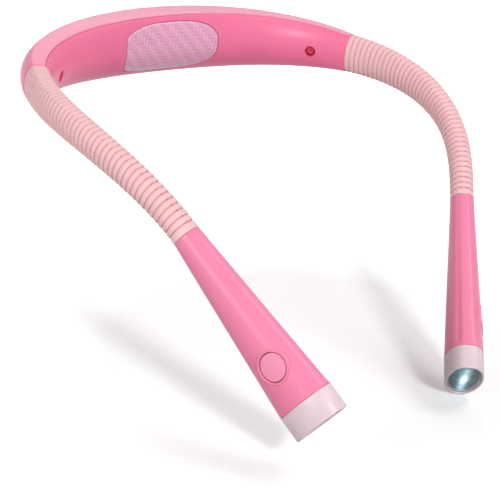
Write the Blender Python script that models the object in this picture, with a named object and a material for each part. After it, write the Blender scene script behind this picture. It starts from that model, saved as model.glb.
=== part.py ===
"""Neck reading light: a battery housing that rests on the back of the neck, two ribbed arms
that keep the shape they are bent to, and a lamp with a push button at the end of each.

Metres, +Z up as it is worn, and the wearer faces -Y. Left and right are as seen from the front,
so the left side is -X. Every long piece is lofted along the centreline of its side, and the
section all along is one shape: a tall oval whose top is cut flat between two ridges.
"""

import math
from collections import namedtuple

import bpy
import bmesh
import numpy as np
from mathutils import Matrix, Vector

Section = namedtuple("Section", "width facet crown keel")
Frame = namedtuple("Frame", "origin along out up")

# Lengths along the centreline of one side
NECK_HALF = 0.0898
ARM_LENGTH = 0.1077
LAMP_LENGTH = 0.0793
BEZEL_LENGTH = 0.0096

# How far each neck half turns, in degrees, and its curvature in the middle as a share of the mean
NECK_BEND = 65.4
NECK_MIDDLE_BEND_SHARE = 0.40

# Turning rates of the arms in degrees per arm length: control values of a cubic from root to tip,
# inwards for the sweep and downwards for the drop, and the twist at the root and at the tip
LEFT_SWEEP = (70.7, 37.3, 29.0, 8.7)
LEFT_DROP = (8.6, 32.0, 46.0, 83.2)
LEFT_TWIST = (-46.7, 57.9)
RIGHT_SWEEP = (58.1, 95.0, 99.4, -5.7)
RIGHT_DROP = (30.9, 13.0, 24.3, 47.8)
RIGHT_TWIST = (47.8, -12.4)

# Section: widest part, flat top between the ridges, height above and depth below the centreline
NECK_WIDTH = 0.0185
NECK_FACET = 0.0115
NECK_CROWN = 0.0139
NECK_KEEL = 0.0125
ROOT_WIDTH = 0.0104
ROOT_FACET = 0.0037
ROOT_CROWN = 0.0070
ROOT_KEEL = 0.0094
TIP_WIDTH = 0.0095
TIP_FACET = 0.0026
TIP_CROWN = 0.0051
TIP_KEEL = 0.0059
LAMP_WIDTH = 0.0145
LAMP_FACET = 0.0044
LAMP_CROWN = 0.0115
LAMP_KEEL = 0.0125
# Powers of the neck's taper, in the order of Section: the housing stays wide until near its ends
NECK_FULLNESS = Section(5.2, 1.9, 2.0, 2.0)

# Walls, and the gap that pieces keep from their neighbours
NECK_WALL = 0.0018
LAMP_WALL = 0.0015
FIT_GAP = 0.0003
CUT_OVERRUN = 0.002

# Pad on the inner cover
PAD_HALF_LENGTH = 0.0245
PAD_TOP = 0.0107
PAD_BOTTOM = 0.0101
PAD_CORNER = 0.0062
PAD_THICKNESS = 0.0010
PAD_PROUD = 0.0003

# Cover screws, their bosses in the cover and the posts of the outer shell
SCREW_FROM_END = 0.0173
SCREW_RISE = -0.0015
SCREW_HEAD_RADIUS = 0.0017
SCREW_HEAD_HEIGHT = 0.0012
SCREW_SHANK_RADIUS = 0.0009
SCREW_LENGTH = 0.0080
SCREW_HOLE_RADIUS = 0.0021
SCREW_HOLE_DEPTH = 0.0036
SCREW_DRIVE_RADIUS = 0.0008
SCREW_DRIVE_DEPTH = 0.0006
BOSS_RADIUS = 0.0032
BOSS_DEPTH = 0.0050
POST_RADIUS = 0.0025

# Battery cell and its leads
CELL_LENGTH = 0.050
CELL_THICKNESS = 0.0080
CELL_HEIGHT = 0.0160
CELL_INSET = 0.00085
CELL_RISE = 0.0005
CELL_EDGE = 0.0015
LEAD_RADIUS = 0.0005
LEAD_LANDING = 0.0080
LEAD_OFFSET = 0.0010
LEAD_SPACING = 0.0022

# Charging board, midway between the cell and the screw boss, and its socket
BOARD_LENGTH = 0.026
BOARD_WIDTH = 0.0090
BOARD_THICKNESS = 0.0010
BOARD_OFFSET = 0.0009
BOARD_RISE = -0.0021
SOCKET_WIDTH = 0.0089
SOCKET_HEIGHT = 0.0032
SOCKET_DEPTH = 0.0073
SOCKET_WALL = 0.0003
SOCKET_FLOOR = 0.0010
SOCKET_MOUTH_INSET = 0.0005
SOCKET_PORT_GAP = 0.0004
TONGUE_WIDTH = 0.0067
TONGUE_HEIGHT = 0.0007

# Bendable core, cable and their bore through the arm
CORE_RADIUS = 0.0016
CABLE_RADIUS = 0.0011
BORE_RISE = -0.00045
CORE_GRIP = 0.0070
CORE_JOINT_GAP = 0.0016

# Cable routes from the charging board to the arm's plug, as (distance from an anchor, out, up).
# The left lamp's cable sets out on the right side, climbs the cell's end, runs over the cell and
# comes down between the cell and the screw boss
CLIMB_FROM_CELL = (
    (0.0135, -0.0018, 0.0000),
    (0.0100, -0.0018, 0.0018),
    (0.0065, -0.0015, 0.0056),
    (0.0020, -0.0010, 0.0090),
)
OVER_CELL_SHARES = (0.8, 0.4, 0.0, -0.5)
OVER_CELL_OUT = -0.0010
OVER_CELL_RISE = 0.0101
DESCENT_FROM_CELL = (0.0020, -0.0010, 0.0097)
DESCENT_MIDWAY = (-0.0005, 0.0082)
DESCENT_TO_SCREW = ((-0.0145, 0.0000, 0.0062), (0.0000, 0.0000, 0.0046))
RIGHT_CABLE_TO_SCREW = (
    (-0.0165, 0.0000, 0.0000),
    (-0.0125, 0.0000, 0.0012),
    (-0.0070, 0.0000, 0.0036),
    (0.0000, 0.0000, 0.0046),
)
CABLE_KNOT_STEP = 0.010
CABLE_POINT_STEP = 0.0055

# Ribbed sleeve
RIBS = 42
RIBS_BEFORE_JOINTS = (5, 16, 26, 37)
RIB_DEPTH = 0.00045
COLLAR_LENGTH = 0.0030

# Bezel, lens, reflector and light source
BEZEL_EDGE = 0.0004
BEZEL_RIM = 0.0008
BEZEL_WALL = 0.0014
BEZEL_TAPER = 0.0015
SPIGOT_LENGTH = 0.0040
SPIGOT_WALL = 0.0010
LENS_THICKNESS = 0.0012
LENS_INSET = 0.0005
REFLECTOR_WALL = 0.0006
REFLECTOR_DEPTH = 0.0078
REFLECTOR_THROAT = 0.0036
LED_BOARD_THICKNESS = 0.0016
LED_SIDE = 0.0036
LED_HEIGHT = 0.0008

# Button, switch and control board
BUTTON_FROM_FRONT = 0.0248
BUTTON_RISE = 0.0018
BUTTON_RADIUS = 0.0054
BUTTON_PROUD = 0.0002
BUTTON_CENTRE = 0.0020
BUTTON_FLANGE = 0.0005
BUTTON_FLANGE_THICKNESS = 0.0006
BUTTON_STEM_RADIUS = 0.0012
BUTTON_TRAVEL = 0.0005
RIM_WIDTH = 0.0007
RIM_HEIGHT = 0.0003
CONTROL_FROM_FRONT = 0.0183
CONTROL_LENGTH = 0.0310
CONTROL_HEIGHT = 0.0110
CONTROL_THICKNESS = 0.0008
CONTROL_INSET = 0.0005
CONTROL_RISE = -0.0005
CONTROL_POST_RADIUS = 0.0012
CONTROL_POST_INSET = 0.0040
SWITCH_SIDE = 0.0042
SWITCH_HEIGHT = 0.0014
PLUNGER_RADIUS = 0.0010
PLUNGER_HEIGHT = 0.0006

# Facets: steps of the upper arcs and of the lower quarters, and stations along each piece
HOUSING_ARCS = (4, 6)
SLEEVE_ARCS = (2, 3)
ROUTE_STEPS = 560
NECK_STATIONS = 13
NECK_SPACING = 0.7
LAMP_STATIONS = 4
BORE_EVERY_STATIONS = 4
PAD_STRAIGHT_STEPS = 4
PAD_CORNER_STEPS = 4
PAD_ROWS = 5
REFLECTOR_STEPS = 4
ROUND_SIDES = 20
SMALL_SIDES = 12
TUBE_RESOLUTION = 2
CORE_POINTS = 6
CURVE_SAMPLES = 16
SMOOTH_ANGLE = math.radians(32)

# Places that follow from the sizes above
ARM_START = NECK_HALF
LAMP_START = NECK_HALF + ARM_LENGTH
BEZEL_START = LAMP_START + LAMP_LENGTH - BEZEL_LENGTH
SIDE_LENGTH = LAMP_START + LAMP_LENGTH
SCREW_ARC = NECK_HALF - SCREW_FROM_END
BOARD_ARC = (CELL_LENGTH / 2 + SCREW_ARC - BOSS_RADIUS) / 2
BUTTON_ARC = SIDE_LENGTH - BUTTON_FROM_FRONT
CONTROL_END = SIDE_LENGTH - CONTROL_FROM_FRONT
CONTROL_START = CONTROL_END - CONTROL_LENGTH
RIB_PITCH = (ARM_LENGTH - COLLAR_LENGTH) / RIBS
JOINT_ARCS = [ARM_START + ribs * RIB_PITCH for ribs in RIBS_BEFORE_JOINTS]
BORE_RADIUS = CORE_RADIUS + FIT_GAP
BORE_HALF_HEIGHT = CORE_RADIUS + CABLE_RADIUS + 1.5 * FIT_GAP
CORE_RISE = BORE_RISE - BORE_HALF_HEIGHT + FIT_GAP + CORE_RADIUS
CABLE_RISE = BORE_RISE + BORE_HALF_HEIGHT - FIT_GAP - CABLE_RADIUS
PLUG_START = ARM_START - CORE_GRIP - CORE_RADIUS
NECK_REST_OFFSET = NECK_WIDTH / 2 + PAD_PROUD
LENS_SEAT = LENS_INSET + LENS_THICKNESS + FIT_GAP
LED_RISE = (LAMP_CROWN - LAMP_KEEL) / 2
CONTROL_BACK = -CONTROL_INSET
SWITCH_BASE = CONTROL_BACK + CONTROL_THICKNESS + FIT_GAP
SWITCH_TOP = SWITCH_BASE + SWITCH_HEIGHT
PLUNGER_TOP = SWITCH_TOP + PLUNGER_HEIGHT
STEM_END = PLUNGER_TOP + BUTTON_TRAVEL + FIT_GAP
JOINT_MARK = 4 * CORE_RADIUS

NECK_MIDDLE_SECTION = Section(NECK_WIDTH, NECK_FACET, NECK_CROWN, NECK_KEEL)
ROOT_SECTION = Section(ROOT_WIDTH, ROOT_FACET, ROOT_CROWN, ROOT_KEEL)
TIP_SECTION = Section(TIP_WIDTH, TIP_FACET, TIP_CROWN, TIP_KEEL)
LAMP_SECTION = Section(LAMP_WIDTH, LAMP_FACET, LAMP_CROWN, LAMP_KEEL)


def clear_scene():
    for obj in list(bpy.data.objects):
        bpy.data.objects.remove(obj, do_unlink=True)


def make_material(name, color, roughness, metallic=0.0, alpha=1.0):
    """A Principled material of this colour."""
    material = bpy.data.materials.new(name)
    material.use_nodes = True
    shader = material.node_tree.nodes["Principled BSDF"]
    shader.inputs["Base Color"].default_value = (*color, 1.0)
    shader.inputs["Roughness"].default_value = roughness
    shader.inputs["Metallic"].default_value = metallic
    shader.inputs["Alpha"].default_value = alpha
    return material


def make_materials():
    return {
        "housing": make_material("pink_housing", (0.83, 0.19, 0.32), 0.32),
        "sleeve": make_material("pale_silicone", (0.90, 0.62, 0.62), 0.6),
        "bezel": make_material("mauve_bezel", (0.73, 0.55, 0.59), 0.35),
        "pad": make_material("textured_pad", (0.76, 0.38, 0.52), 0.45),
        "button": make_material("button_cap", (0.84, 0.27, 0.42), 0.4),
        "lens": make_material("clear_lens", (0.86, 0.93, 0.95), 0.08, alpha=0.35),
        "reflector": make_material("bright_reflector", (0.75, 0.78, 0.80), 0.12, 1.0),
        "steel": make_material("steel", (0.55, 0.55, 0.57), 0.3, 1.0),
        "board": make_material("green_board", (0.03, 0.20, 0.09), 0.5),
        "cell": make_material("cell_wrap", (0.10, 0.13, 0.20), 0.45),
        "led": make_material("led_phosphor", (0.90, 0.75, 0.25), 0.4),
        "cable": make_material("cable_sheath", (0.80, 0.80, 0.78), 0.5),
        "red_lead": make_material("red_lead", (0.65, 0.03, 0.03), 0.5),
        "black_lead": make_material("black_lead", (0.02, 0.02, 0.02), 0.5),
        "plastic": make_material("inner_plastic", (0.62, 0.60, 0.60), 0.5),
    }


def unit(vector):
    return vector / np.linalg.norm(vector)


def bezier_value(controls, share):
    """A cubic through its four control values, at this share of the way."""
    rest = 1 - share
    weights = (rest**3, 3 * rest**2 * share, 3 * rest * share**2, share**3)
    return sum(weight * control for weight, control in zip(weights, controls))


def turned(vectors, spin):
    """The vectors turned about the spin vector by its length."""
    angle = np.linalg.norm(spin)
    if angle == 0:
        return vectors
    matrix = np.array(Matrix.Rotation(angle, 3, Vector(spin / angle)))
    return [matrix @ vector for vector in vectors]


class Side:
    """The centreline of one side: frames at even steps from the middle of the neck to the lamp's front."""

    def __init__(self, name, sign, sweep, drop, twist):
        self.name = name
        self.sign = sign
        self.bends = (sweep, drop, twist)
        step = SIDE_LENGTH / ROUTE_STEPS
        origin = np.array([0.0, NECK_REST_OFFSET, 0.0])
        along, out, up = np.array([sign, 0.0, 0.0]), np.array([0.0, 1.0, 0.0]), np.array([0.0, 0.0, 1.0])
        frames = [(origin, along, out, up)]
        for index in range(ROUTE_STEPS):
            inward, down, roll = self.turn_rates((index + 0.5) * step)
            spin = (np.cross(along, -out) * inward + np.cross(along, -up) * down + along * roll * sign) * step
            middle = turned([along], spin / 2)[0]
            origin = origin + middle * step
            along, out, up = turned([along, out, up], spin)
            frames.append((origin, along, out, up))
        self.arcs = np.linspace(0, SIDE_LENGTH, ROUTE_STEPS + 1)
        self.table = np.array(frames).reshape(len(frames), 12)

    def turn_rates(self, arc):
        """Inward, downward and rolling turn in radians per metre."""
        if arc < NECK_HALF:
            share = arc / NECK_HALF
            middle = NECK_MIDDLE_BEND_SHARE
            return math.radians(NECK_BEND) / NECK_HALF * (middle + 3 * (1 - middle) * share**2), 0.0, 0.0
        if arc >= LAMP_START:
            return 0.0, 0.0, 0.0
        share = (arc - ARM_START) / ARM_LENGTH
        sweep, drop, twist = self.bends
        rates = (
            bezier_value(sweep, share),
            bezier_value(drop, share),
            twist[0] + (twist[1] - twist[0]) * share,
        )
        return tuple(math.radians(rate) / ARM_LENGTH for rate in rates)

    def frame(self, arc):
        row = np.array([np.interp(arc, self.arcs, column) for column in self.table.T])
        return Frame(row[:3], unit(row[3:6]), unit(row[6:9]), unit(row[9:]))

    def point(self, arc, out=0.0, up=0.0):
        frame = self.frame(arc)
        return frame.origin + frame.out * out + frame.up * up

    def matrix(self, arc, out=0.0, up=0.0):
        """Placement with local X towards +X of the neck's middle, Y outwards and Z up."""
        frame = self.frame(arc)
        columns = [frame.along * self.sign, frame.out, frame.up]
        matrix = Matrix([list(column) for column in columns]).transposed().to_4x4()
        matrix.translation = Vector(self.point(arc, out, up))
        return matrix


def blended(first, second, share):
    return Section(*(a + (b - a) * share for a, b in zip(first, second)))


def section_at(arc):
    """The outer section at this arc from the middle of the neck."""
    if arc <= NECK_HALF:
        share = arc / NECK_HALF
        sizes = zip(ROOT_SECTION, NECK_MIDDLE_SECTION, NECK_FULLNESS)
        return Section(*(end + (middle - end) * (1 - share**power) for end, middle, power in sizes))
    if arc <= LAMP_START:
        return blended(ROOT_SECTION, TIP_SECTION, (arc - ARM_START) / ARM_LENGTH)
    share = min((arc - LAMP_START) / (BEZEL_START - LAMP_START), 1.0)
    return blended(TIP_SECTION, LAMP_SECTION, share)


def shrunk(section, depth):
    """The section that lies this deep inside another."""
    width = section.width - 2 * depth
    return Section(width, section.facet * width / section.width, section.crown - depth, section.keel - depth)


def crown_reach(section):
    """Half height of the upper oval before its top is cut flat."""
    return section.crown / math.sqrt(1 - (section.facet / section.width) ** 2)


def half_width(section, rise):
    """Half width of the section at this height."""
    reach = crown_reach(section) if rise > 0 else section.keel
    return section.width / 2 * math.sqrt(max(1 - (rise / reach) ** 2, 0.0))


def outline(section, arcs):
    """(out, up) points round a section: inner ridge, outer ridge, down the outside, up the inside."""
    upper, lower = arcs
    reach, half = crown_reach(section), section.width / 2
    ridge = math.acos(section.facet / section.width)
    outside = [ridge * (1 - step / upper) for step in range(1, upper + 1)]
    below = [-math.pi / 2 * step / lower for step in range(1, 2 * lower + 1)]
    points = [(-section.facet / 2, section.crown), (section.facet / 2, section.crown)]
    points += [(half * math.cos(angle), reach * math.sin(angle)) for angle in outside]
    points += [(half * math.cos(angle), section.keel * math.sin(angle)) for angle in below]
    points += [(-half * math.cos(angle), reach * math.sin(angle)) for angle in reversed(outside[:-1])]
    return points


def stadium(radius, half_height, rise, count):
    """(out, up) points round an upright stadium, in step with the points of an outline."""
    start = math.radians(110)
    points = []
    for index in range(count):
        angle = start - 2 * math.pi * index / count
        lift = math.copysign(half_height - radius, math.sin(angle))
        points.append((radius * math.cos(angle), rise + lift + radius * math.sin(angle)))
    return points


def bore_outline(count):
    return stadium(BORE_RADIUS, BORE_HALF_HEIGHT, BORE_RISE, count)


def ring_at(side, arc, points):
    """World points of a flat ring across the centreline."""
    frame = side.frame(arc)
    return [frame.origin + frame.out * out + frame.up * up for out, up in points]


def make_solid(name, rings, material, hoop=False):
    """A closed surface through rings of equal count, capped at its ends or, as a hoop, joined."""
    count = len(rings[0])
    steps = [(index, index + 1) for index in range(len(rings) - 1)]
    if hoop:
        steps.append((len(rings) - 1, 0))
    faces = []
    for near, far in steps:
        for here in range(count):
            there = (here + 1) % count
            faces.append((near * count + here, near * count + there, far * count + there, far * count + here))
    if not hoop:
        faces.append(tuple(reversed(range(count))))
        faces.append(tuple(range((len(rings) - 1) * count, len(rings) * count)))
    points = [tuple(float(value) for value in point) for ring in rings for point in ring]
    return make_object(name, points, faces, material)


def make_object(name, points, faces, material):
    mesh = bpy.data.meshes.new(name)
    mesh.from_pydata(points, [], faces)
    tidy = bmesh.new()
    tidy.from_mesh(mesh)
    bmesh.ops.recalc_face_normals(tidy, faces=tidy.faces)
    tidy.to_mesh(mesh)
    tidy.free()
    mesh.shade_smooth()
    mesh.set_sharp_from_angle(angle=SMOOTH_ANGLE)
    if material:
        mesh.materials.append(material)
    obj = bpy.data.objects.new(name, mesh)
    bpy.context.scene.collection.objects.link(obj)
    return obj


def combine(target, tool, operation):
    """A Boolean of the target with a helper that isn't itself a piece."""
    tool.hide_render = True
    tool.display_type = "WIRE"
    modifier = target.modifiers.new(tool.name, "BOOLEAN")
    modifier.operation = operation
    modifier.object = tool
    modifier.solver = "EXACT"


def make_round(name, placement, stations, material, sides=ROUND_SIDES):
    """A turned solid: (distance, radius) stations along the local Y of its placement."""
    rings = []
    for distance, radius in stations:
        angles = [2 * math.pi * index / sides for index in range(sides)]
        ring = [Vector((radius * math.cos(a), distance, radius * math.sin(a))) for a in angles]
        rings.append([placement @ point for point in ring])
    return make_solid(name, rings, material)


def make_block(name, placement, size, material, edge=0.0):
    """A box of this size about its placement, its edges rounded where edge is set."""
    mesh = bpy.data.meshes.new(name)
    box = bmesh.new()
    bmesh.ops.create_cube(box, size=1.0, matrix=Matrix.Diagonal((*size, 1.0)))
    box.to_mesh(mesh)
    box.free()
    mesh.materials.append(material)
    obj = bpy.data.objects.new(name, mesh)
    obj.matrix_world = placement
    bpy.context.scene.collection.objects.link(obj)
    if edge:
        bevel = obj.modifiers.new("edges", "BEVEL")
        bevel.width = edge
        bevel.segments = 2
        bevel.limit_method = "NONE"
    return obj


def make_tube(name, points, radius, material):
    """A round tube along these points."""
    curve = bpy.data.curves.new(name, "CURVE")
    curve.dimensions = "3D"
    curve.bevel_depth = radius
    curve.bevel_resolution = TUBE_RESOLUTION
    curve.use_fill_caps = True
    spline = curve.splines.new("POLY")
    spline.points.add(len(points) - 1)
    for target, point in zip(spline.points, points):
        target.co = (*point, 1.0)
    curve.materials.append(material)
    obj = bpy.data.objects.new(name, curve)
    bpy.context.scene.collection.objects.link(obj)
    return obj


def smooth_points(places, spacing):
    """Points about this far apart on a smooth curve through the places, a Catmull-Rom curve."""
    knots = np.array([places[0], *places, places[-1]], dtype=float)
    t = np.linspace(0, 1, CURVE_SAMPLES, endpoint=False)[:, None]
    stretches = []
    for a, b, c, d in zip(knots, knots[1:], knots[2:], knots[3:]):
        cubic = (3 * b - a - 3 * c + d) * t**3 + (2 * a - 5 * b + 4 * c - d) * t**2
        stretches.append(b + (cubic + (c - a) * t) / 2)
    curve = np.vstack([*stretches, knots[-1:]])
    lengths = np.append(0.0, np.cumsum(np.linalg.norm(np.diff(curve, axis=0), axis=1)))
    wanted = np.linspace(0, lengths[-1], math.ceil(lengths[-1] / spacing) + 1)
    return np.column_stack([np.interp(wanted, lengths, column) for column in curve.T])


def neck_rings(left, right, path_at):
    """Rings from the neck's left end to its right end, closer where it bends more."""
    arcs = [NECK_HALF * (step / (NECK_STATIONS - 1)) ** NECK_SPACING for step in range(NECK_STATIONS)]
    rings = [ring_at(left, arc, path_at(arc)) for arc in reversed(arcs[1:])]
    return rings + [ring_at(right, arc, path_at(arc)) for arc in arcs]


def trimmed(path, gap):
    """A path whose two ends are drawn back by the gap."""
    ends = []
    for end, inner in ((path[0], path[1]), (path[-1], path[-2])):
        reach = math.dist(end, inner)
        ends.append(tuple(e + (i - e) * gap / reach for e, i in zip(end, inner)))
    return [ends[0], *path[1:-1], ends[1]]


def shell_path(arc):
    """Half-section of the outer shell: over the flat top, down the outside to the bottom and back."""
    upper, lower = HOUSING_ARCS
    last = 2 + upper + lower
    section = section_at(arc)
    outer = outline(section, HOUSING_ARCS)[:last]
    inner = outline(shrunk(section, NECK_WALL), HOUSING_ARCS)[:last]
    return outer + inner[::-1]


def cover_path(arc):
    """Half-section of the inner cover, clear of the shell's edges by the fit gap."""
    upper, lower = HOUSING_ARCS
    first = 1 + upper + lower
    section = section_at(arc)
    outer, inner = (
        points[first:] + points[:1]
        for points in (outline(size, HOUSING_ARCS) for size in (section, shrunk(section, NECK_WALL)))
    )
    return trimmed(outer, FIT_GAP) + trimmed(inner, FIT_GAP)[::-1]


def pad_solid(name, left, right, grow, deep, proud, material):
    """The pad's rounded oblong on the cover's curved face, from a depth below it to a height above."""
    corner = PAD_CORNER + grow
    straight = PAD_HALF_LENGTH - PAD_CORNER
    angles = [math.pi / 2 * step / PAD_CORNER_STEPS for step in range(PAD_CORNER_STEPS + 1)]
    ends = [(straight + corner * math.sin(a), corner * (1 - math.cos(a))) for a in angles]
    inside = [(straight * step / PAD_STRAIGHT_STEPS, 0.0) for step in range(PAD_STRAIGHT_STEPS)]
    stations = [(left, arc, drawn) for arc, drawn in reversed(inside[1:] + ends)]
    stations += [(right, arc, drawn) for arc, drawn in inside + ends]
    rings = []
    for side, arc, drawn in stations:
        section = section_at(arc)
        top, bottom = PAD_TOP + grow - drawn, -PAD_BOTTOM - grow + drawn
        rises = [bottom + (top - bottom) * row / PAD_ROWS for row in range(PAD_ROWS + 1)]
        face = [(-half_width(section, rise) - proud, rise) for rise in rises]
        back = [(-half_width(section, rise) + deep, rise) for rise in reversed(rises)]
        rings.append(ring_at(side, arc, face + back))
    return make_solid(name, rings, material)


def make_neck(left, right, looks):
    """The housing: outer shell, inner cover, pad and screws."""
    shell = make_solid("neck_outer_shell", neck_rings(left, right, shell_path), looks["housing"])
    cover = make_solid("neck_inner_cover", neck_rings(left, right, cover_path), looks["housing"])
    pad_depth = PAD_THICKNESS - PAD_PROUD
    pad = pad_solid("neck_pad", left, right, 0.0, pad_depth, PAD_PROUD, looks["pad"])
    recess = pad_solid("pad_recess_cutter", left, right, FIT_GAP, pad_depth + FIT_GAP, CUT_OVERRUN, None)
    combine(cover, recess, "DIFFERENCE")
    pieces = [shell, cover, pad]
    for side in (left, right):
        pieces.append(add_cover_screw(side, shell, cover, looks))
    cut_socket_port(right, shell)
    return pieces


def add_cover_screw(side, shell, cover, looks):
    """A boss in the cover, a post in the shell and the screw that draws them together."""
    section = section_at(SCREW_ARC)
    face = -half_width(section, SCREW_RISE)
    place = side.matrix(SCREW_ARC, 0.0, SCREW_RISE)
    boss_end = face + BOSS_DEPTH
    hole_floor = face + SCREW_HOLE_DEPTH
    wall_middle = NECK_WALL / 2
    post_end = boss_end + FIT_GAP
    boss = [(face + wall_middle, BOSS_RADIUS), (boss_end, BOSS_RADIUS)]
    combine(cover, make_round(f"cover_boss_{side.name}", place, boss, None), "UNION")
    hole = [(face - CUT_OVERRUN, SCREW_HOLE_RADIUS), (hole_floor, SCREW_HOLE_RADIUS)]
    combine(cover, make_round(f"cover_hole_cutter_{side.name}", place, hole, None), "DIFFERENCE")
    pilot_radius = SCREW_SHANK_RADIUS + FIT_GAP
    screw_top = hole_floor - FIT_GAP - SCREW_HEAD_HEIGHT
    screw_end = screw_top + SCREW_LENGTH
    way = [(hole_floor - CUT_OVERRUN, pilot_radius), (boss_end + CUT_OVERRUN, pilot_radius)]
    way_cutter = make_round(f"cover_way_cutter_{side.name}", place, way, None, SMALL_SIDES)
    combine(cover, way_cutter, "DIFFERENCE")
    post = [(post_end, POST_RADIUS), (-face - wall_middle, POST_RADIUS)]
    combine(shell, make_round(f"shell_post_{side.name}", place, post, None), "UNION")
    pilot = [(post_end - CUT_OVERRUN, pilot_radius), (screw_end + FIT_GAP, pilot_radius)]
    pilot_cutter = make_round(f"shell_pilot_cutter_{side.name}", place, pilot, None, SMALL_SIDES)
    combine(shell, pilot_cutter, "DIFFERENCE")
    profile = [
        (screw_top + SCREW_DRIVE_DEPTH, SCREW_DRIVE_RADIUS),
        (screw_top, SCREW_DRIVE_RADIUS),
        (screw_top, SCREW_HEAD_RADIUS),
        (screw_top + SCREW_HEAD_HEIGHT, SCREW_HEAD_RADIUS),
        (screw_top + SCREW_HEAD_HEIGHT, SCREW_SHANK_RADIUS),
        (screw_end, SCREW_SHANK_RADIUS),
    ]
    return make_round(f"cover_screw_{side.name}", place, profile, looks["steel"], SMALL_SIDES)


def socket_outline(width, height, sides=ROUND_SIDES):
    """(along, up) points of a flat stadium that lies on its side."""
    return [(across, along) for along, across in stadium(height / 2, width / 2, 0.0, sides)]


def socket_placement(right):
    """Local Y points out of the housing, with zero at the mouth."""
    mouth = half_width(section_at(BOARD_ARC), 0.0) - SOCKET_MOUTH_INSET
    rise = BOARD_RISE + BOARD_THICKNESS / 2 + FIT_GAP + SOCKET_HEIGHT / 2
    return right.matrix(BOARD_ARC, mouth, rise)


def placed_ring(placement, distance, points):
    return [placement @ Vector((across, distance, rise)) for across, rise in points]


def cut_socket_port(right, shell):
    place = socket_placement(right)
    points = socket_outline(SOCKET_WIDTH + 2 * SOCKET_PORT_GAP, SOCKET_HEIGHT + 2 * SOCKET_PORT_GAP)
    reaches = (-NECK_WALL - CUT_OVERRUN, SOCKET_MOUTH_INSET + CUT_OVERRUN)
    rings = [placed_ring(place, reach, points) for reach in reaches]
    combine(shell, make_solid("socket_port_cutter", rings, None), "DIFFERENCE")


def board_placement(right):
    return right.matrix(BOARD_ARC, BOARD_OFFSET, BOARD_RISE)


def make_electronics(right, looks):
    """Cell, charging board, charging socket and the two leads between them."""
    cell_place = right.matrix(0.0, -CELL_INSET, CELL_RISE)
    cell_size = (CELL_LENGTH, CELL_THICKNESS, CELL_HEIGHT)
    cell = make_block("battery_cell", cell_place, cell_size, looks["cell"], CELL_EDGE)
    board_size = (BOARD_LENGTH, BOARD_WIDTH, BOARD_THICKNESS)
    board = make_block("charging_board", board_placement(right), board_size, looks["board"])
    place = socket_placement(right)
    body = socket_outline(SOCKET_WIDTH, SOCKET_HEIGHT)
    cavity = socket_outline(SOCKET_WIDTH - 2 * SOCKET_WALL, SOCKET_HEIGHT - 2 * SOCKET_WALL)
    tongue = socket_outline(TONGUE_WIDTH, TONGUE_HEIGHT)
    floor = -SOCKET_DEPTH + SOCKET_FLOOR
    stations = [(-SOCKET_DEPTH, body), (0.0, body), (0.0, cavity), (floor, cavity), (floor, tongue)]
    stations.append((-SOCKET_MOUTH_INSET, tongue))
    rings = [placed_ring(place, distance, points) for distance, points in stations]
    socket = make_solid("charging_socket", rings, looks["steel"])
    return [cell, board, socket, *make_battery_leads(right, looks)]


def make_battery_leads(right, looks):
    """Two leads from the cell's end, bowed over the gap and landed on the board."""
    rise = BOARD_RISE + BOARD_THICKNESS / 2 + FIT_GAP + LEAD_RADIUS
    cell_end = CELL_LENGTH / 2 + FIT_GAP
    landing = BOARD_ARC - BOARD_LENGTH / 2 + LEAD_LANDING
    pieces = []
    for name, offset in (("red_lead", LEAD_OFFSET), ("black_lead", LEAD_OFFSET + LEAD_SPACING)):
        start = right.matrix(0.0) @ Vector((cell_end, offset - LEAD_SPACING, rise))
        middle = right.point((cell_end + landing) / 2, offset, rise + LEAD_RADIUS)
        points = smooth_points([start, middle, right.point(landing, offset, rise)], 4 * LEAD_RADIUS)
        pieces.append(make_tube(f"battery_{name}", points, LEAD_RADIUS, looks[name]))
    return pieces


def make_plug(name, side, start, end, wall, material):
    """A plug that fills a housing's end and grips the core; its bore matches the sleeve's."""
    count = len(outline(ROOT_SECTION, HOUSING_ARCS))
    arcs = (start, (start + end) / 2, end)
    outer = [
        ring_at(side, arc, outline(shrunk(section_at(arc), wall + FIT_GAP), HOUSING_ARCS))
        for arc in arcs
    ]
    bore = [ring_at(side, arc, bore_outline(count)) for arc in reversed(arcs)]
    return make_solid(name, outer + bore, material, hoop=True)


def sleeve_stations(first, last):
    """(arc, depth) from one joint's groove to the next: a groove and a crest for each rib."""
    stations = []
    for rib in range(first, last):
        groove = ARM_START + rib * RIB_PITCH
        stations += [(groove, RIB_DEPTH), (groove + RIB_PITCH / 2, 0.0)]
    if first == 0:
        stations[0] = (ARM_START + FIT_GAP, 0.0)
    else:
        stations[0] = (stations[0][0] + FIT_GAP / 2, RIB_DEPTH)
    end = ARM_START + last * RIB_PITCH
    if last == RIBS:
        return stations + [(end, RIB_DEPTH), (end + RIB_DEPTH, 0.0), (LAMP_START - FIT_GAP, 0.0)]
    return stations + [(end - FIT_GAP / 2, RIB_DEPTH)]


def make_sleeve(side, material):
    """The ribbed sleeve, parted in the groove at each joint."""
    count = len(outline(ROOT_SECTION, SLEEVE_ARCS))
    bounds = (0, *RIBS_BEFORE_JOINTS, RIBS)
    pieces = []
    for number, (first, last) in enumerate(zip(bounds, bounds[1:]), start=1):
        stations = sleeve_stations(first, last)
        outer = [
            ring_at(side, arc, outline(shrunk(section_at(arc), depth), SLEEVE_ARCS))
            for arc, depth in stations
        ]
        plain = [arc for arc, _ in stations[:-1:BORE_EVERY_STATIONS]] + [stations[-1][0]]
        bore = [ring_at(side, arc, bore_outline(count)) for arc in reversed(plain)]
        pieces.append(make_solid(f"sleeve_{side.name}_{number}", outer + bore, material, hoop=True))
    return pieces


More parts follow.
